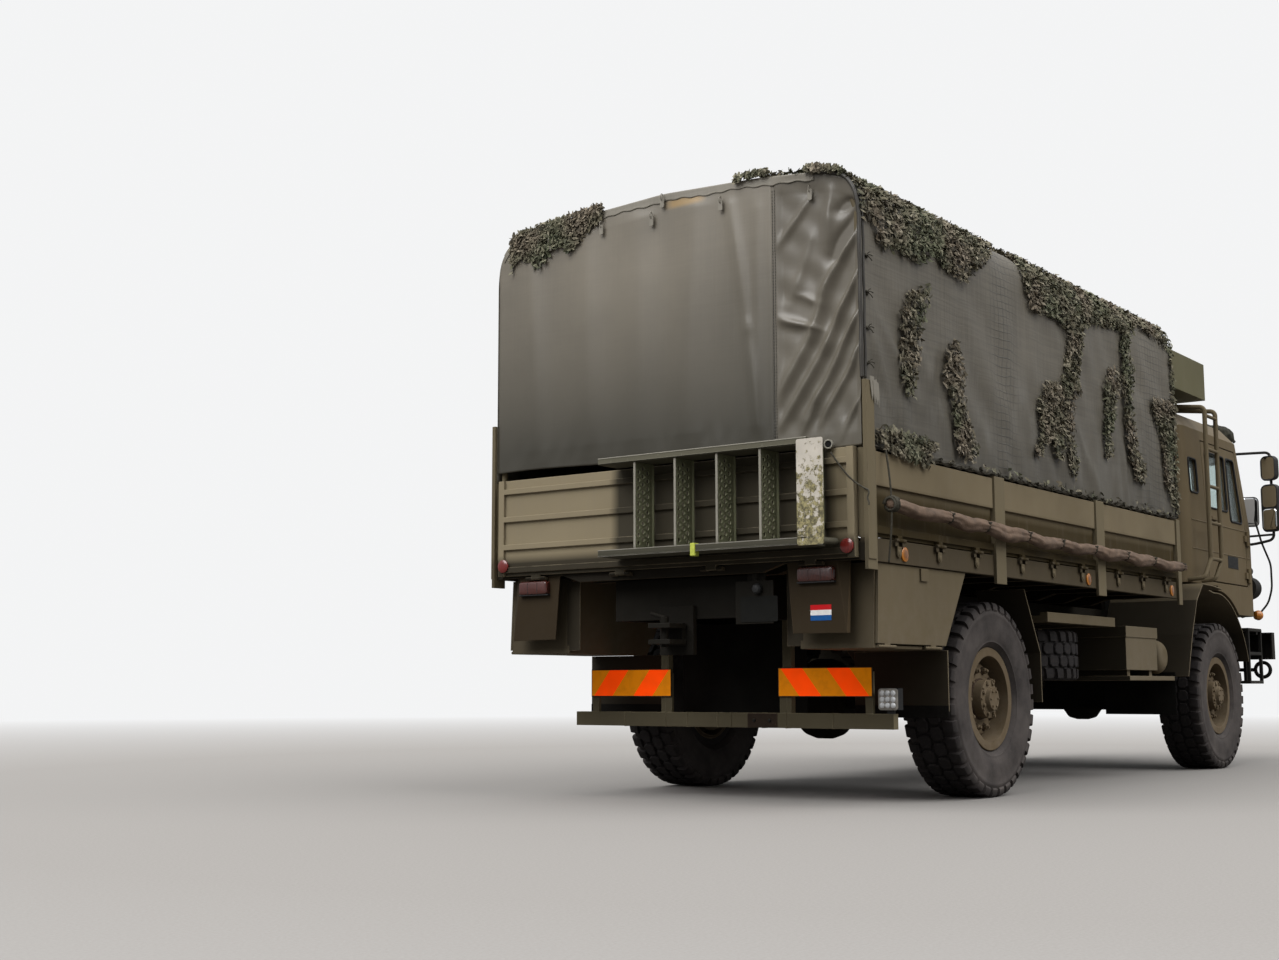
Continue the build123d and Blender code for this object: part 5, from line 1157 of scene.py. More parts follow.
points, faces = leaves(roots, outward, np.random.default_rng(5))
net_leaves = make_piece("net_leaves", "chassis", "net_cloth", leaf_cloth, points, [faces], smooth=False,
                        closed=False, stands_for=("camouflage_net",))
tones = net_leaves.data.attributes.new("leaf_tone", "FLOAT", "POINT")
tones.data.foreach_set("value", np.repeat(rng.beta(1.5, 1.7, len(roots)), 6).astype(np.float32))
print("leaves", len(roots))

# %% [markdown]
# ## The rolled cover along the side
#
# A second cover is rolled up and tied along the right side. Between two ties the roll swells and sags a
# little. At a tie it is drawn in, and folds run out of the tie like those of a sack's neck. So the radius
# of the tube follows a swelling between ties, times folds round it that are deepest at the ties.

# %% The roll and its ropes
ties = np.array((-3.262, -2.64, -2.19, -1.65, -1.17, -0.65, -0.10, 0.40, 0.98))
roll_x = np.linspace(-3.285, 1.045, 640)
roll_y = -1.2745
roll_middle = np.interp(roll_x, (-3.29, -2.3, -1.3, 0, 1.05), (1.520, 1.494, 1.466, 1.462, 1.450))
bay = np.clip(np.searchsorted(ties, roll_x) - 1, 0, len(ties) - 2)
bay_place = np.clip((roll_x - ties[bay]) / (ties[bay + 1] - ties[bay]), 0, 1)
swell = np.sin(np.pi * bay_place) ** 0.35
near_tie = 1 - swell
sides_of_roll = 40
round_roll = full_turn(sides_of_roll)[None, :]
phase = 2.4 * bay[:, None]
lobes = (1 + 0.14 * near_tie[:, None] * np.sin(9 * round_roll + phase)
         + 0.05 * np.sin(5 * round_roll + phase + 1.3 * np.sin(12 * bay_place[:, None]))
         + (0.10 + 0.10 * (bay[:, None] == 2)) * swell[:, None] * np.cos(2 * round_roll + 0.7 * phase)
         + 0.02 * np.sin(60 * roll_x[:, None] + 3 * round_roll))
sagging = 0.014 * np.sin(np.pi * bay_place) ** 2
roll_radius = 0.024 + 0.0145 * swell
roll_path = np.column_stack((roll_x, roll_y + 0 * roll_x, roll_middle - sagging))
make_piece("cover_roll_cloth", "chassis", "rolled_canvas", roll_cloth,
           *carried(roll_path, roll_radius, sides_of_roll, lobes), stands_for=("cover_roll",))


def coil(middle, radius, thick, turns, length, seed):
    """Rope wound round the roll: a helix about X with an uneven radius."""
    dice = np.random.default_rng(seed)
    t = np.linspace(0, 2 * np.pi * turns, int(18 * turns))
    uneven = radius * (1 + 0.06 * np.sin(2.3 * t + dice.uniform(0, 6)))
    line = np.column_stack((middle[0] + length * (t / t[-1] - 0.5), middle[1] + uneven * np.cos(t),
                            middle[2] + uneven * np.sin(t)))
    return carried(line, thick, 6, beside=(1, 0, 0))


roll_ropes = []
for number, place in enumerate(ties):
    middle = (place, roll_y, float(np.interp(place, roll_x, roll_middle)))
    roll_ropes.append(coil(middle, 0.0285, 0.0035, 2.2, 0.016, number))
    roll_ropes.append(repeated(knot(0.012, 0.0036), [(place, -1.299, middle[2] + 0.016)]))
roll_ropes.append(coil((-3.262, roll_y, 1.519), 0.036, 0.0065, 3.4, 0.042, 20))
roll_ropes.append(coil((-3.275, roll_y, 1.517), 0.030, 0.0065, 2.6, 0.030, 21))
fall = np.linspace(0, 1, 40)
rope_y = -1.246 - 0.030 * np.sin(np.pi * fall) - 0.004 * fall
rope_down = np.column_stack((-3.263 - 0.012 * np.sin(3 * fall), rope_y, 1.790 - 0.560 * fall))
roll_ropes.append(carried(rope_down, 0.0055, 6, beside=(1, 0, 0)))
strap_z = 1.776 - 0.200 * fall - 0.03 * np.sin(np.pi * fall)
strap_line = np.column_stack((-3.462 + 0.02 * fall, -1.045 - 0.195 * fall, strap_z))
roll_ropes.append(carried(strap_line, 0.0045, 6, beside=(1, 0, 0)))
strap_end = np.column_stack((-3.442 + 0 * fall, -1.240 - 0.004 * np.sin(9 * fall), 1.576 - 0.075 * fall))
roll_ropes.append(carried(strap_end, 0.0045, 6, beside=(1, 0, 0)))
make_piece("roll_ropes", "chassis", "rolled_canvas", rope_fibre, *joined(roll_ropes))

# %% [markdown]
# ## Tyres
#
# A truck tyre is a turned carcass with rows of blocks on it. The carcass is a profile turned about the
# axle. The tread is two block shapes repeated round it: heavy shoulder lugs that reach down the side wall,
# and two staggered rows of rounded blocks between them. Every block is drawn flat, as length round the tyre
# and place across, and bent round it. The profile is given as radius and place across.

# %% A turned carcass and blocks bent round it
carcass = np.array((
    (0.2545, -0.1115), (0.2925, -0.1115), (0.300, -0.122), (0.318, -0.136), (0.322, -0.144), (0.334, -0.1445),
    (0.340, -0.148), (0.372, -0.1535), (0.405, -0.1562), (0.440, -0.1562), (0.470, -0.1545), (0.474, -0.1560),
    (0.486, -0.1552), (0.490, -0.1530), (0.510, -0.146), (0.522, -0.136), (0.529, -0.118), (0.532, -0.06)))
carcass = np.concatenate((carcass, (carcass * (1, -1))[::-1]))
block_count = 36
skin_steps = 108
tyre_turn = full_turn(skin_steps)
tyre_radius = 0.55

# A shoulder lug's section as (radius, place across), drawn out round the tyre
shoulder_lug = np.array(((0.496, 0.1500), (0.508, 0.1568), (0.530, 0.1545), (0.5455, 0.1450), (0.5495, 0.1320),
                         (0.5500, 0.1000), (0.5495, 0.0860), (0.527, 0.0820), (0.516, 0.1300)))
# An inner block seen from outside as (length along, place across), with its corners cut
inner_block = np.array(((-0.040, 0.016), (-0.024, 0.005), (0.022, 0.005), (0.039, 0.022), (0.041, 0.050),
                        (0.026, 0.074), (-0.022, 0.074), (-0.040, 0.056)))


def bent_round(along, across, radius):
    """Points given by length round the tread, place across and radius, as places about the Y axis."""
    angle = along / tyre_radius
    return np.stack((radius * np.sin(angle), across + 0 * angle, radius * np.cos(angle)), -1)


def lug_row(side, offset):
    """Shoulder lugs: the section stands at both ends of each lug, nearer together at the top, slightly
    slanted."""
    step = 2 * np.pi * tyre_radius / block_count
    radius, across = shoulder_lug.T
    top = np.clip((radius - 0.51) / 0.04, 0, 1)
    slant = 0.16 * side * (across - 0.09)
    ends = np.array([end * (0.33 - 0.035 * top) * step + slant for end in (-1, 1)])
    along = step * (np.arange(block_count) + offset)[:, None, None] + ends[None]
    points = bent_round(along, side * across + 0 * along, radius + 0 * along)
    number = len(radius)
    moved = 2 * number * np.arange(block_count)[:, None, None]
    faces = grid_faces(2, number, close_columns=True)
    caps = np.stack((np.arange(number), number + np.arange(number)[::-1]))
    blocks = [(faces[None] + moved).reshape(-1, 4), (caps[None] + moved).reshape(-1, number)]
    return points.reshape(-1, 3), blocks


def inner_row(side, offset):
    """Inner blocks: the outline at three levels, drawn in towards the top so that its edge is rounded."""
    step = 2 * np.pi * tyre_radius / block_count
    middle = inner_block.mean(0)
    rings = []
    for radius, size in ((0.528, 1.08), (0.5465, 1.0), (0.5500, 0.90)):
        ring = middle + size * (inner_block - middle)
        along = step * (np.arange(block_count) + offset)[:, None] + side * ring[None, :, 0]
        rings.append(bent_round(along, side * ring[None, :, 1] + 0 * along, radius + 0 * along))
    number = len(inner_block)
    points = np.stack(rings, 1)
    moved = 3 * number * np.arange(block_count)[:, None, None]
    faces = grid_faces(3, number, close_columns=True)
    caps = np.stack((np.arange(number)[::-1], 2 * number + np.arange(number)))
    blocks = [(faces[None] + moved).reshape(-1, 4), (caps[None] + moved).reshape(-1, number)]
    return points.reshape(-1, 3), blocks


radius, across = carcass.T
skin = np.stack((radius * np.sin(tyre_turn[:, None]), across + 0 * tyre_turn[:, None],
                 radius * np.cos(tyre_turn[:, None])), -1).reshape(-1, 3)
skin_faces = grid_faces(skin_steps, len(carcass), close_rows=True, close_columns=True)
tyre_points, tyre_faces = joined([(skin, [skin_faces]), lug_row(1, 0.0), lug_row(-1, 0.5), inner_row(1, 0.5),
                                  inner_row(-1, 0.0)])
out_from_axle = np.hypot(tyre_points[:, 0], tyre_points[:, 2])
side_wall = (np.clip((np.abs(tyre_points[:, 1]) - 0.10) / 0.03, 0, 1)
             * np.clip((0.545 - out_from_axle) / 0.03, 0.15, 1))
for name in [name for name in node if name.startswith("tyre_")] + ["spare_tyre"]:
    low, high = (np.array(corner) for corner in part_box(name))
    middle = (low + high) / 2
    if name == "spare_tyre":
        points, body = tyre_points[:, (0, 2, 1)] + middle, "chassis"
    else:
        points, body = tyre_points + middle, "road_wheel_" + name[len("tyre_"):]
    tread = make_piece(name + "_tread", body, "tyre", tyre_rubber, points, tyre_faces, stands_for=(name,),
                       sharp=30)
    dusty = tread.data.attributes.new("side_wall", "FLOAT", "POINT")
    dusty.data.foreach_set("value", side_wall.astype(np.float32))
print("tyre faces", sum(len(block) for block in tyre_faces))

# %% [markdown]
# ## Wheel bolts
#
# Ten nuts hold each wheel, and each stands in a dark ring of rust. The hub has a circle of bolts round its
# flange and a smaller one on its cap. One nut is a six-sided turned shape, and all of them are copied in
# one go.

# %% Nuts and hub bolts on each wheel
nut = spun(((0.0150, 0.0), (0.0165, 0.004), (0.0165, 0.018), (0.0140, 0.022), (0.0100, 0.022), (0.0100, 0.031),
            (0.0080, 0.033)), 12)
washer = spun(((0.0235, 0.0), (0.0235, 0.0030), (0.0200, 0.0040)), 20)
hub_bolt = spun(((0.0105, 0.0), (0.0105, 0.009), (0.0080, 0.012)), 6)
cap_bolt = spun(((0.0070, 0.0), (0.0070, 0.006), (0.0050, 0.008)), 6)
hub_ring = spun(((0.1085, -0.004), (0.1180, -0.004), (0.1185, 0.003), (0.1120, 0.008), (0.1085, 0.006)), 40)


def ring_of(count, radius, place, offset=0.0):
    """Places round the axle, at a radius and a place outboard."""
    angle = 2 * np.pi * (np.arange(count) + offset) / count
    return np.column_stack((radius * np.cos(angle), radius * np.sin(angle), np.full(count, place)))


def wheel_hardware(body, name, middle, outboard):
    """Nuts, washers and hub bolts of one wheel, made about Z and turned to face outboard."""
    axes = facing(outboard)
    rings = ((nut, (10, 0.167, 0.0585)), (hub_bolt, (8, 0.0890, 0.1215, 0.5)), (cap_bolt, (6, 0.0470, 0.1495)),
             (cap_bolt, (10, 0.1000, 0.1185)))
    bright = joined([repeated(shape, ring_of(*ring)) for shape, ring in rings])
    dark = joined([repeated(washer, ring_of(10, 0.167, 0.0545)), repeated(hub_ring, [(0, 0, 0.060)])])
    for part, finish, shape in (("nuts", wheel_paint, bright), ("washers", rusty_steel, dark)):
        points = np.asarray(shape[0]) @ axes + middle
        make_piece(f"{name}_{part}", body, "body_paint", finish, points, shape[1], smooth=False)


for name in [name for name in node if name.startswith("wheel_")]:
    tyre = name.replace("wheel_", "tyre_")
    low, high = (np.array(corner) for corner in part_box(tyre))
    side = np.sign(low[1] + high[1])
    wheel_hardware("road_" + name, name, (low + high) / 2, (0, side, 0))

# %% [markdown]
# ## The boarding steps
#
# The steps are stowed upright on the tailgate. Each tread is a perforated sheet with three staggered
# columns of holes. One cell of it is a square with a round hole: the ring between the square and the
# circle, the hole's wall and the back. A tread is thirty copies of the cell in a folded frame with a pale,
# worn lip towards the rear.

# %% Perforated treads and their frame
def hole_cell(width, height, hole, depth, sides=16):
    """A square of sheet with a round hole: ring in front, wall of the hole, ring behind and the outer
    edge."""
    turn = full_turn(sides) + np.pi / sides
    reach = 1 / np.maximum(np.abs(np.cos(turn)), np.abs(np.sin(turn)))
    square = np.column_stack((reach * np.cos(turn) * width / 2, reach * np.sin(turn) * height / 2))
    circle = np.column_stack((np.cos(turn), np.sin(turn))) * hole
    rim = circle * 1.12
    rings = [np.column_stack((ring, np.full(sides, level))) for ring, level in
             ((square, 0.0), (rim, 0.0), (circle, -0.0025), (circle, depth), (square, depth))]
    return np.concatenate(rings), [grid_faces(5, sides, close_rows=True, close_columns=True)]


step_rear, step_front = -3.625, -3.452
step_right, step_left = -1.000, 0.300
stringers = ((1.310, 1.345), (1.805, 1.840))
tread_y = (-0.990, -0.728, -0.466, -0.204, 0.058)
tread_low, tread_high = 1.345, 1.805
rows_of_holes = 10
cell_height = (tread_high - tread_low - 0.02) / (rows_of_holes + 0.5)
cell = hole_cell(0.040, cell_height, 0.0125, 0.0035)
hole_x = step_rear + 0.040 + 0.040 * np.arange(3)
cells, blanks = [], []
for number, x_place in enumerate(hole_x):
    raised = 0.25 if number == 1 else -0.25
    level = tread_low + 0.010 + cell_height * (np.arange(rows_of_holes) + 0.75 + raised)
    cells.append(np.column_stack((np.full(rows_of_holes, x_place), level)))
    low, high = level[0] - cell_height / 2, level[-1] + cell_height / 2
    blanks += [(x_place - 0.02, x_place + 0.02, z0, z1) for z0, z1 in ((tread_low, low), (high, tread_high))]
cells = np.concatenate(cells)
sheets, lips, dark_lips = [], [], []
for y_place in tread_y:
    axes = np.array(((1.0, 0, 0), (0, 0, 1.0), (0, 1.0, 0)))
    places = np.column_stack((cells[:, 0], np.full(len(cells), y_place), cells[:, 1]))
    sheets.append(repeated(cell, places, axes))
    rows = [(x0, x1, y_place, y_place + 0.0035, z0, z1) for x0, x1, z0, z1 in blanks if z1 - z0 > 0.001]
    rows += [(step_rear + 0.012, step_rear + 0.020, y_place, y_place + 0.0035, tread_low, tread_high),
             (hole_x[-1] + 0.020, step_front - 0.004, y_place, y_place + 0.0035, tread_low, tread_high)]
    sheets.append(crates(rows, 0.0006))
    lips.append((step_rear + 0.008, step_rear + 0.014, y_place - 0.004, y_place + 0.010, tread_low, tread_high))
    dark_lips.append((step_front - 0.012, step_front - 0.005, y_place - 0.012, y_place + 0.004,
                      tread_low, tread_high))
tread_paint = plain_finish("tread_paint", (0.170, 0.172, 0.105), 0.7, 0.15, 6, gloss=0.1)
make_piece("step_treads", "tailgate", "body_paint", tread_paint, *joined(sheets + [crates(dark_lips, 0.002)]),
           smooth=False, stands_for=("boarding_steps",))
crate_piece("step_lips", "tailgate", "body_paint", pale_steel, lips, 0.002)
frame_rows = []
for low, high in stringers:
    frame_rows += [(step_rear, step_front, step_right, step_left, low, low + 0.006),
                   (step_rear, step_front, step_right, step_left, high - 0.006, high),
                   (step_rear, step_rear + 0.005, step_right, step_left, low, high),
                   (step_front - 0.006, step_front, step_right, step_left, low, high)]
worn_olive = paint("worn_olive", (0.105, 0.098, 0.070), 0.3, 0.4, 1.0, (0.10, 0.09, 0.07),
                   chips=(0.20, 0.19, 0.15))
crate_piece("step_frame", "tailgate", "body_paint", worn_olive, frame_rows, 0.0015)
edge_rows = [(step_rear - 0.0015, step_rear + 0.004, step_right, step_left, level, level + 0.006)
             for level in [high - 0.0055 for _, high in stringers]]
edge_rows.append((step_rear - 0.0015, step_rear + 0.004, step_right, step_left, 1.3095, 1.3125))
crate_piece("step_frame_edges", "tailgate", "body_paint", pale_steel, edge_rows, 0.001)

# %% [markdown]
# The end plate is bare aluminium under paint that has flaked off, worst at the bottom. The share of old
# paint grows downwards, and a fine speckle breaks it into flakes. Its edge is a plain rounded rectangle.

# %% The flaking end plate
flaking, tree, shader, place = new_material("flaking_plate")
metal = blended(tree, spread(tree, noise(tree, place, 6, 4), 0.3, 0.7), (0.40, 0.365, 0.31), (0.56, 0.51, 0.44))
dirt = spread(tree, noise(tree, place, 26, 7, 0.72), 0.40, 0.60)
low = spread(tree, part_of(tree, place, 2), 1.78, 1.42, 0.10, 0.97)
share = spread(tree, maths(tree, "SUBTRACT", maths(tree, "ADD", dirt, low), 0.96), 0.0, 0.20)
fine = spread(tree, noise(tree, place, 60, 4, 0.7), 0.4, 0.6)
flakes = blended(tree, fine, (0.065, 0.055, 0.026), (0.30, 0.26, 0.12))
tree.links.new(blended(tree, share, metal, flakes), shader.inputs["Base Color"])
settings(shader, {"Roughness": 0.55, "Metallic": 0.15})
raise_by(tree, shader, share, 0.0012, 0.8)
outline = rounded(0.150, 0.525, 0.010) + (0.0, 1.5675)
plate = np.asarray(slab(outline, 0.004)[0]) @ np.array(((0, 1.0, 0), (0, 0, 1.0), (1.0, 0, 0)))
make_piece("step_end_plate", "tailgate", "body_paint", flaking, plate + (step_rear - 0.0015, -1.019, 0),
           slab(outline, 0.004)[1], smooth=False)

# %% [markdown]
# ## Lamps, plates and reflectors
#
# The tail lamp is one moulded lens with three chambers and round ends. Under it the mudguard plate carries
# a small three-colour stripe. Number plates stay blank. Reflectors are shallow domes. Each is an outline
# drawn flat and turned to face the way the lamp looks.

# %% Lamps and plates at the rear
def faced(shape, place, direction):
    """A flat shape made about Z, set at a place and turned to face a direction."""
    return np.asarray(shape[0]) @ facing(direction) + place, shape[1]


def domed(width, height, corner, depth, steps=5):
    """A lens: a rounded outline at three levels, drawn in towards the front, closed before and behind."""
    rings = [np.column_stack((rounded(width - 2 * inset, height - 2 * inset, max(corner - inset, 0.002), steps),
                              np.full(4 * steps, level)))
             for inset, level in ((0.0, 0.0), (0.0, 0.6 * depth), (0.006, 0.9 * depth), (0.016, depth))]
    number = 4 * steps
    return np.concatenate(rings), [grid_faces(4, number, close_columns=True), np.arange(number)[None, ::-1],
                                   3 * number + np.arange(number)[None]]


rear = np.array((-1.0, 0, 0))
upright_plate = np.array(((0, 1.0, 0), (0, 0, 1.0), (1.0, 0, 0)))
plates, lenses, dividers = [], [], []
lamp_y = 0.9225
for side in (-1, 1):
    face = slab(np.array(((0.745, 1.250), (1.034, 1.243), (1.086, 0.882), (0.777, 0.886))) * (side, 1), 0.006)
    plates.append((face[0] @ upright_plate + (-3.403, 0, 0), face[1]))
    fold = np.array(((-3.403, 1.034, 1.243), (-3.365, 1.090, 1.240), (-3.385, 1.091, 0.883),
                     (-3.403, 1.086, 0.882)))
    fold = np.concatenate((fold, fold + (0.006, 0, 0))) * (1, side, 1)
    plates.append((fold, [grid_faces(2, 4, close_columns=True), np.array(((3, 2, 1, 0), (4, 5, 6, 7)))]))
    lenses.append(faced(domed(0.212, 0.078, 0.020, 0.034), (-3.402, side * lamp_y, 1.177), rear))
    middle = side * lamp_y
    rims = [(-3.4370, -3.4200, middle + at - 0.002, middle + at + 0.002, 1.147, 1.207) for at in (-0.035, 0.035)]
    sill = (-3.4280, -3.4020, middle - 0.108, middle + 0.108, 1.134, 1.141)
    dividers.append(crates(rims + [sill], 0.001))
make_piece("tail_plates", "chassis", "body_paint", tail_paint, *joined(plates), smooth=False,
           stands_for=("tail_lamps",))
holder = [(-3.400, -3.396, -0.660, -0.430, 0.940, 1.160), (-3.396, -3.360, -0.560, -0.530, 0.950, 1.200),
          (-3.380, -3.366, -0.600, -0.490, 1.160, 1.200)]
crate_piece("plate_holder", "chassis", "chassis_paint", chassis_paint, holder, 0.002)
make_piece("tail_lenses", "chassis", "lamp_glass", dark_red_lens, *joined(lenses), sharp=40)
make_piece("tail_lens_ribs", "chassis", "lamp_glass", black_plastic, *joined(dividers), smooth=False)

stripes, tree, shader, place = new_material("three_stripes")
ramp = tree.nodes.new("ShaderNodeValToRGB")
ramp.color_ramp.interpolation = "CONSTANT"
ramp.color_ramp.elements[0].color = (0.004, 0.075, 0.260, 1)
ramp.color_ramp.elements[1].position = 0.333
ramp.color_ramp.elements[1].color = (0.74, 0.72, 0.70, 1)
ramp.color_ramp.elements.new(0.667).color = (0.50, 0.004, 0.008, 1)
tree.links.new(spread(tree, part_of(tree, place, 2), 0.947, 1.025), ramp.inputs[0])
speck = spread(tree, noise(tree, place, 50, 4), 0.4, 0.75, 0, 0.15)
tree.links.new(blended(tree, speck, ramp.outputs[0], (0.10, 0.085, 0.07)), shader.inputs["Base Color"])
settings(shader, {"Roughness": 0.6, "Specular IOR Level": 0.15})
make_piece("stripe_plate", "chassis", "marker_sheet", stripes,
           *faced(slab(rounded(0.120, 0.078, 0.002, 3), 0.0012), (-3.4032, -0.940, 0.986), rear), smooth=False)

make_piece("number_plates", "chassis", "black_paint", plate_black,
           *faced(slab(rounded(0.225, 0.130, 0.008, 4), 0.003), (-3.4002, -0.575, 1.015), rear), smooth=False)
lamp_body = spun(((0.026, 0.0), (0.028, 0.010), (0.026, 0.022), (0.018, 0.030), (0.006, 0.032)), 20)
make_piece("plate_lamp", "chassis", "lamp_glass", black_plastic,
           *faced(lamp_body, (-3.4002, -0.570, 1.118), rear), sharp=35)

reflector = spun(((0.037, 0.0), (0.037, 0.007), (0.031, 0.0105), (0.015, 0.0125), (0.004, 0.013)), 28)
make_piece("rear_reflectors", "tailgate", "lamp_glass", red_lens,
           *joined([faced(reflector, (-3.4525, side * 1.124, 1.307), rear) for side in (-1, 1)]), sharp=50)
side_places = [(x_place, side * 1.2125, 1.285) for x_place in (-3.03, -0.585, 0.945) for side in (-1, 1)]
make_piece("side_reflectors", "chassis", "lamp_glass", amber_lens,
           *joined([faced(reflector, place, (0, np.sign(place[1]), 0)) for place in side_places]), sharp=50)

# %% [markdown]
# The marker boards have two orange stripes on yellow. The stripe is worked out from the piece's own
# coordinates: distance from the board's inner end, moved on by the depth below its top, folded to one
# period and cut in half. A little painted glow of its own makes the sheeting brighter than the light on it.

# %% Marker boards, underrun and work lamp
hazard, tree, shader, place = new_material("hazard_stripes")
board_inner, board_top = 0.360 + 0.013, 0.720
stripe_slope, stripe_period, orange_share = 0.118 / 0.150, 0.288, 0.47
inward = maths(tree, "SUBTRACT", maths(tree, "ABSOLUTE", part_of(tree, place, 1)), board_inner)
depth = maths(tree, "SUBTRACT", board_top, part_of(tree, place, 2))
along = maths(tree, "SUBTRACT", inward, maths(tree, "MULTIPLY", depth, stripe_slope))
phase = maths(tree, "FRACT", maths(tree, "DIVIDE", maths(tree, "ADD", along, stripe_period), stripe_period))
orange = maths(tree, "LESS_THAN", phase, orange_share)
plain = blended(tree, orange, (0.50, 0.150, 0.001), (1.0, 0.060, 0.000))
# Dark blotches of road dirt on the sheeting.
grime_and_shade = spread(tree, noise(tree, place, 16, 6, 0.65), 0.45, 0.8, 0, 0.4)
sheet_colour = blended(tree, grime_and_shade, plain, (0.20, 0.06, 0.002))
tree.links.new(sheet_colour, shader.inputs["Base Color"])
# Painted glow: the sheeting's colour is also given out as light.
tree.links.new(sheet_colour, shader.inputs["Emission Color"])
settings(shader, {"Emission Strength": 0.42, "Specular IOR Level": 0.08, "Roughness": 0.6})
node["marker_boards"].data.materials[0] = hazard
rims = []
for side in (-1, 1):
    y0, y1 = sorted((side * 0.357, side * 0.933))
    rims += [(-2.882, -2.870, y0, y1, 0.567, 0.5715), (-2.882, -2.870, y0, y1, 0.7185, 0.723),
             (-2.882, -2.870, y0, y0 + 0.004, 0.567, 0.723), (-2.882, -2.870, y1 - 0.004, y1, 0.567, 0.723)]
crate_piece("marker_rims", "chassis", "marker_sheet", tail_paint, rims, 0.001)

bracket = [(-2.8795, -2.8745, -0.345, -0.155, 0.402, 0.478)]
crate_piece("underrun_bracket", "chassis", "chassis_paint", rusty_steel, bracket, 0.002)
bolt = spun(((0.010, 0.0), (0.010, 0.006), (0.007, 0.009)), 6)
bolts = [faced(bolt, (-2.8795, y, 0.440), rear) for y in (-0.200, -0.300)]
make_piece("underrun_bolts", "chassis", "chassis_paint", black_paint, *joined(bolts), smooth=False)

lamp_frame = faced(domed(0.112, 0.112, 0.016, 0.010), (-2.8802, -1.025, 0.555), rear)
make_piece("work_lamp_face", "chassis", "lamp_glass", bare_steel, *lamp_frame, sharp=40)
led = spun(((0.0145, 0.0), (0.0145, 0.003), (0.011, 0.007), (0.005, 0.0095), (0.001, 0.010)), 16)
cell_pitch = 0.0315
led_places = [(-2.8895, -1.025 + cell_pitch * column, 0.555 + cell_pitch * row)
              for column in (-1, 0, 1) for row in (-1, 0, 1)]
cells = joined([faced(led, at, rear) for at in led_places])
make_piece("work_lamp_cells", "chassis", "lamp_glass", clear_lens, *cells, sharp=50)
fins = [(-2.845 + 0.009 * k, -2.842 + 0.009 * k, -1.079, -0.971, 0.505, 0.613) for k in range(3)]
crate_piece("work_lamp_fins", "chassis", "black_paint", black_plastic, fins, 0.001)

# %% [markdown]
# ## Sheets below the bed
#
# Near-black sheets hang behind the wheels and across between the frame's rails: painted shade, standing
# for the deep shadow below the bed, so that hardly any light comes through it. Each is a thin crate that
# reaches the frame or the guard above it. A short panel closes the gap beside each locker. On the bed's
# rails a tongue with a round boss stands under each hinge of a side board.

# %% Painted-shade sheets, locker panels and hinge tongues
hung = [(-2.560, -2.555, -0.345, 0.500, 0.465, 0.960), (-2.570, -2.545, -0.440, 0.510, 0.955, 0.981),
        (1.450, 1.455, -0.640, 0.640, 0.460, 0.960), (1.440, 1.465, -0.640, 0.640, 0.955, 0.981)]
panels = []
for side in (-1, 1):
    hung.append((-2.548, -2.543, *sorted((side * 0.640, side * 1.200)), 0.455, 0.520))
    hung.append((1.216, 1.222, *sorted((side * 0.600, side * 1.120)), 0.420, 0.720))
    panels.append((-3.303, -3.298, *sorted((side * 0.680, side * 0.775)), 0.825, 1.215))
crate_piece("underbody_shade_sheets", "chassis", "tyre", underbody_shade_rubber, hung, 0.001)
crate_piece("locker_panels", "chassis", "body_paint", guard_paint, panels, 0.001)

turn = np.linspace(np.pi, 2 * np.pi, 9)
tongue = np.column_stack((0.022 * np.cos(turn), 0.022 * np.sin(turn)))
tongue = np.concatenate((tongue, ((0.022, 0.034), (-0.022, 0.034))))
boss = spun(((0.018, 0.0), (0.018, 0.010), (0.013, 0.016), (0.004, 0.018)), 14)
lug_x = [start + step for start in (-3.339, -1.834, -0.324) for step in (0.240, 0.690, 1.140)]
tongues = [faced(shape, (at, side * 1.2125, 1.286), (0, side, 0)) for at in lug_x for side in (-1, 1)
           for shape in (slab(tongue, 0.012), boss)]
make_piece("hinge_tongues", "chassis", "body_paint", olive_paint, *joined(tongues), sharp=35)

# %% [markdown]
# Small things finish the rear: the pale end of the tube at the flap's corner, a ring on the sill, a bright
# strap on the lower stringer and a short tube beside the steps.

# %% Small things at the rear
tube_ring = spun(((0.0165, -0.020), (0.0235, -0.020), (0.0245, 0.0), (0.0235, 0.004), (0.0170, 0.004),
                  (0.0165, 0.0)), 24)
tube_place = np.array((-3.462, -1.032, 1.818))
tube_facing = (-1.0, -0.22, -0.05)
# A near-black disc inside the tube is painted shade.
shaded_hollow = spun(((0.0166, 0.0), (0.0166, 0.001)), 24)
for ending, finish, shape in (("end", pale_steel, tube_ring), ("shaded_hollow", painted_shade_black, shaded_hollow)):
    make_piece("roll_tube_" + ending, "chassis", "canvas", finish, *faced(shape, tube_place, tube_facing),
               sharp=40)
t = full_turn(20)
sill_ring = np.column_stack((0 * t - 3.4560, -0.490 + 0.016 * np.cos(t), 1.330 + 0.016 * np.sin(t)))
sill_ring = carried(sill_ring, 0.004, 8, beside=(1, 0, 0), loop=True)
make_piece("sill_ring", "tailgate", "chassis_paint", pale_steel, *sill_ring)
sleeve = [(-3.632, -3.590, -0.335, -0.305, 1.285, 1.352)]
crate_piece("stringer_strap", "tailgate", "body_paint", strap_web, sleeve, 0.003)
stub = carried(((-3.600, -1.064, 1.327), (-3.530, -1.061, 1.330), (-3.450, -1.058, 1.333)), 0.016, 16)
make_piece("step_stub_tube", "tailgate", "body_paint", worn_olive, *stub, sharp=40)

# %% [markdown]
# ## Seals, mouldings and lamps of the cab
#
# Each window sits in a black rubber seal: a tube carried round the window's outline, whose corners are
# rounded with a curve through three points. The outline is drawn flat and laid on the cab's own leaning
# surfaces. Two thin swage lines run along the cab's side, one piece on the shell and one on the door, so
# that the door can open.

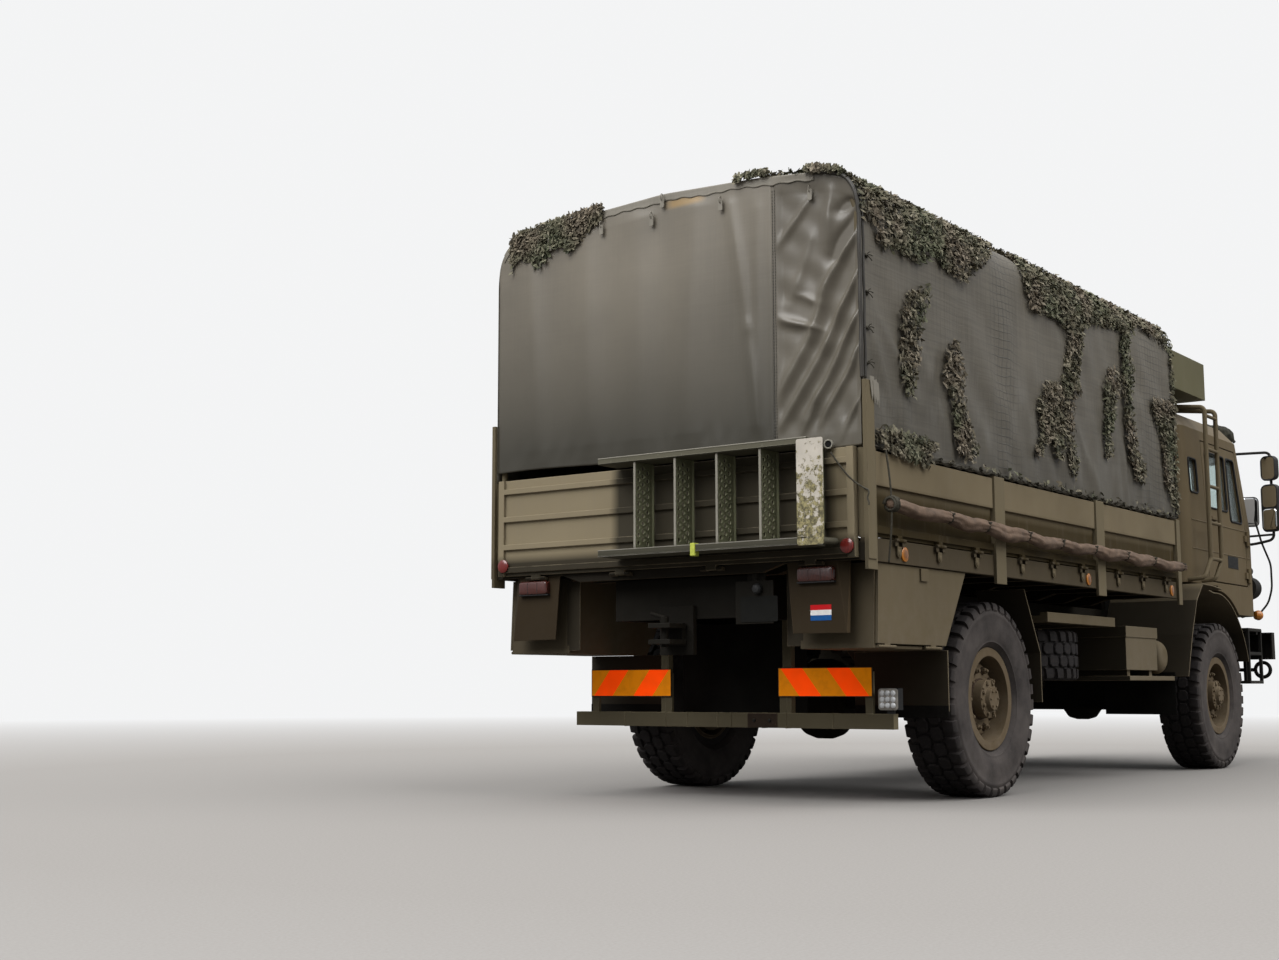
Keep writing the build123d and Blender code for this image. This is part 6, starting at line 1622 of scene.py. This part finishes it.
# %% Window seals
def round_corners(outline, reach, steps=6):
    """A closed outline with each corner replaced by a curve that starts and ends a given reach from it."""
    outline = np.asarray(outline, float)
    before = outline + reach * unit(np.roll(outline, 1, axis=0) - outline)
    after = outline + reach * unit(np.roll(outline, -1, axis=0) - outline)
    t = np.linspace(0, 1, steps)[None, :, None]
    curve = (1 - t) ** 2 * before[:, None] + 2 * t * (1 - t) * outline[:, None] + t ** 2 * after[:, None]
    return curve.reshape(-1, outline.shape[1])


belt_level, above_belt = 1.870, 0.700


def cab_side(x, z, side, proud=0.0):
    """A place on the cab's side: upright below the belt, leaning in above it."""
    x, z = np.broadcast_arrays(np.asarray(x, float), np.asarray(z, float))
    y = 1.120 - 0.030 * np.clip((z - belt_level) / above_belt, 0, 1) + proud
    return np.stack((x, side * y, z), -1)


def on_windscreen(y, z, proud=0.0):
    """A place on the windscreen's leaning plane."""
    return np.stack((3.275 - 0.200 * (z - belt_level) / above_belt + proud, y, z), -1)


main_window = ((2.150, 1.985), (2.610, 1.985), (2.610, 2.420), (2.150, 2.420))
quarter_window = ((2.665, 1.915), (2.955, 1.915), (2.855, 2.420), (2.665, 2.420))
rear_slot = ((1.745, 2.070), (1.925, 2.070), (1.925, 2.330), (1.745, 2.330))
seal_size = 0.0085
cab_seals = []
for side in (-1, 1):
    door_seals = []
    for window in (main_window, quarter_window):
        line = round_corners(window, 0.035)
        door_seals.append(carried(cab_side(line[:, 0], line[:, 1], side, 0.001), seal_size, 8, beside=(0, 1, 0),
                                  loop=True))
    word = "left" if side > 0 else "right"
    make_piece("door_seals_" + word, "cab_door_" + word, "black_plastic", black_rubber, *joined(door_seals))
    line = round_corners(rear_slot, 0.030)
    cab_seals.append(carried(cab_side(line[:, 0], line[:, 1], side, 0.001), seal_size, 8, beside=(0, 1, 0),
                             loop=True))
    pane = np.array(((0.030, 1.990), (0.930, 1.990), (0.930, 2.440), (0.030, 2.440))) * (side, 1)
    line = round_corners(pane, 0.050)
    cab_seals.append(carried(on_windscreen(line[:, 0], line[:, 1], 0.001), 0.010, 8, beside=(1, 0, 0),
                             loop=True))
line = round_corners(((-0.520, 2.000), (0.520, 2.000), (0.520, 2.350), (-0.520, 2.350)), 0.050)
back = np.column_stack((1.574 + 0.015 * (line[:, 1] - belt_level) / above_belt, line))
cab_seals.append(carried(back, 0.010, 8, beside=(1, 0, 0), loop=True))
make_piece("cab_seals", "cab", "black_plastic", black_rubber, *joined(cab_seals))

# %% [markdown]
# The swage lines are long thin crates. The door's vent is a row of slats in a shallow frame.

# %% Swage lines and vents
for side in (-1, 1):
    y0, y1 = sorted((side * 1.119, side * 1.1235))
    on_cab, on_door = [], []
    for low, high in ((1.856, 1.864), (1.640, 1.647)):
        on_cab += [(1.720, 2.072, y0, y1, low, high), (3.040, 3.130, y0, y1, low, high)]
        on_door += [(2.088, 3.022, y0, y1, low, high)]
    word = "left" if side > 0 else "right"
    crate_piece("cab_swages_" + word, "cab", "body_paint", cab_paint, on_cab, 0.0015)
    vent = [(2.550, 2.805, y0, y1, 1.541, 1.545), (2.550, 2.805, y0, y1, 1.631, 1.635)]
    vent += [(2.552, 2.803, y0, y1, 1.549 + 0.009 * k, 1.553 + 0.009 * k) for k in range(9)]
    vent_back = [(2.550, 2.805, *sorted((side * 1.119, side * 1.1205)), 1.543, 1.633)]
    crate_piece("door_swages_" + word, "cab_door_" + word, "body_paint", cab_paint, on_door, 0.0015)
    crate_piece("door_vent_" + word, "cab_door_" + word, "black_plastic", black_plastic, vent + vent_back,
                0.0006)

# %% [markdown]
# ## Mirrors
#
# Each mirror head is a moulded black shell with round corners on a bent tube. The lower one holds two
# glasses: a flat one, and below it a wide-angle one that bulges, so it also shows the sky. A tube's bends
# come from the same running average that rounds the cover's shoulder. At the right front corner a small
# mirror stands on a long tube.

# %% Mirror heads, glasses and tubes
def bent_tube(corners, radius, beside):
    """A tube along straight runs whose corners are rounded by a running average."""
    return carried(soften(even(np.array(corners, float), 0.010), 9), radius, 10, beside=beside)


shells, flat_glass, arms = [], [], []
mirror_x, mirror_y = 3.160, 1.288
tube_beside = (1, 0.3, 0)
arm = np.array(((3.040, 1.060, 2.500), (3.160, 1.200, 2.512), (3.190, 1.300, 2.512), (3.190, 1.300, 1.800),
                (3.190, 1.180, 1.775), (3.165, 1.118, 1.765)))
brace = np.array(((3.165, 1.110, 1.832), (3.190, 1.300, 1.840)))
for side in (-1, 1):
    to_driver = unit(np.array((-0.93, -0.37 * side, 0.0)))
    for low, high, half in ((1.862, 2.246, 0.078), (2.280, 2.480, 0.070)):
        middle = np.array((mirror_x, side * mirror_y, (low + high) / 2))
        shells.append(faced(domed(2 * half, high - low, 0.045, 0.055, 7), middle, -to_driver))
        rim = rounded(2 * half - 0.008, high - low - 0.008, 0.042, 7)
        rim = np.column_stack((rim, 0 * rim[:, 0] + 0.001)) @ facing(to_driver) + middle
        shells.append(carried(rim, 0.006, 8, beside=to_driver, loop=True))
    for low, high, half, shape in ((2.062, 2.234, 0.066, slab), (2.292, 2.468, 0.058, slab),
                                   (1.878, 2.046, 0.066, None)):
        size = (2 * half, high - low, 0.030)
        shape = shape(rounded(*size, 6), 0.002) if shape else domed(*size, 0.012, 8)
        flat_glass.append(faced(shape, (mirror_x, side * mirror_y, (low + high) / 2), to_driver))
    arms += [bent_tube(line * (1, side, 1), size, tube_beside) for line, size in ((arm, 0.011), (brace, 0.009))]
kerb = (3.450, -1.040, 2.060)
shells.append(faced(domed(0.150, 0.250, 0.040, 0.045, 7), kerb, (0.90, 0.32, 0.20)))
flat_glass.append(faced(domed(0.136, 0.236, 0.036, 0.010, 8), kerb, (-0.90, -0.32, -0.20)))
kerb_arm = ((3.235, -1.015, 1.215), (3.400, -1.085, 1.200), (3.470, -1.150, 1.300), (3.470, -1.185, 1.420),
            (3.470, -1.185, 1.620), (3.470, -1.120, 1.800), (3.470, -1.060, 2.050))
arms.append(bent_tube(kerb_arm, 0.008, tube_beside))
make_piece("mirror_shells", "cab", "black_plastic", black_plastic, *joined(shells), sharp=40)
make_piece("mirror_tubes", "cab", "black_paint", black_paint, *joined(arms), stands_for=("mirrors",))
make_piece("mirror_glass", "cab", "window_glass", mirror_silver, *joined(flat_glass), sharp=20)

# %% [markdown]
# A scrim net is rolled up and tied along the front edge of the cab's roof. It is a tube whose radius
# wanders, with ropes round it. The lamps at the front get clear and amber lenses, and an amber pod stands
# at each corner.

# %% The roll on the cab's roof and the front lenses
net_y = np.linspace(-1.085, 1.085, 300)
net_level = np.interp(np.abs(net_y), (0, 0.80, 0.95, 1.02, 1.085), (2.722, 2.722, 2.700, 2.668, 2.590))
net_roll = np.column_stack((2.990 + 0.008 * np.sin(7 * net_y), net_y, net_level))
around = full_turn(24)[None, :]
lumps = (1 + 0.10 * np.sin(5 * around + 9 * net_y[:, None]) + 0.08 * np.sin(43 * net_y[:, None] + 2 * around)
         + 0.06 * np.sin(90 * net_y[:, None] - 3 * around))
ends = np.clip((1.09 - np.abs(net_y)) / 0.05, 0.3, 1) * 0.043
dark_net = plain_finish("dark_net", (0.026, 0.025, 0.018), 0.95, 0.6, 45, 0.004, 120)
make_piece("roof_net_roll", "cab", "net_cloth", dark_net, *carried(net_roll, ends, 24, lumps, beside=(1, 0, 0)))
t = full_turn(20)
bands = [carried(np.column_stack((2.990 + 0.049 * np.cos(t), 0 * t + at,
                                  np.interp(abs(at), np.abs(net_y[:150][::-1]), net_level[:150][::-1])
                                  + 0.049 * np.sin(t))), 0.005, 6, beside=(0, 1, 0), loop=True)
         for at in (-0.95, -0.60, -0.20, 0.20, 0.60, 0.95)]
make_piece("roof_net_ropes", "cab", "net_cloth", rope_fibre, *joined(bands))
front = np.array((1.0, 0, 0))
big_lens = spun(((0.084, 0.0), (0.084, 0.004), (0.070, 0.012), (0.040, 0.019), (0.005, 0.021)), 32)
small_lens = spun(((0.034, 0.0), (0.034, 0.004), (0.024, 0.009), (0.004, 0.011)), 24)
headlamps = joined([faced(big_lens, (3.3852, side * 1.035, 1.420), front) for side in (-1, 1)]
                   + [faced(small_lens, (3.3552, side * 1.035, 1.560), front) for side in (-1, 1)])
make_piece("headlamp_lenses", "cab", "lamp_glass", clear_lens, *headlamps, sharp=40)
pod = spun(((0.010, -0.030), (0.034, -0.026), (0.042, 0.0), (0.040, 0.012), (0.028, 0.030), (0.004, 0.036)), 24)
indicators = joined([faced(small_lens, (3.3202, side * 1.040, 1.225), front) for side in (-1, 1)]
                    + [faced(pod, (3.300, side * 1.112, 1.195), (0.7, side * 0.7, 0)) for side in (-1, 1)])
make_piece("indicator_lenses", "cab", "lamp_glass", amber_lens, *indicators, sharp=40)

# %% [markdown]
# Two wipers lie parked low on the windscreen. Each is an arm and a blade, drawn as short paths on the
# glass.

# %% Wipers
wipers = []
for side in (-1, 1):
    y = side * np.array((0.16, 0.30, 0.46))
    z = np.array((1.965, 2.030, 2.080))
    wipers.append(carried(on_windscreen(y, z, 0.022), (0.008, 0.006, 0.005), 6, beside=(1, 0, 0)))
    y = side * np.linspace(0.22, 0.72, 8)
    z = 2.030 + 0.10 * (np.abs(y) - 0.22)
    wipers.append(carried(on_windscreen(y, z, 0.014), 0.006, 6, beside=(1, 0, 0)))
make_piece("wipers", "cab", "black_plastic", black_plastic, *joined(wipers))
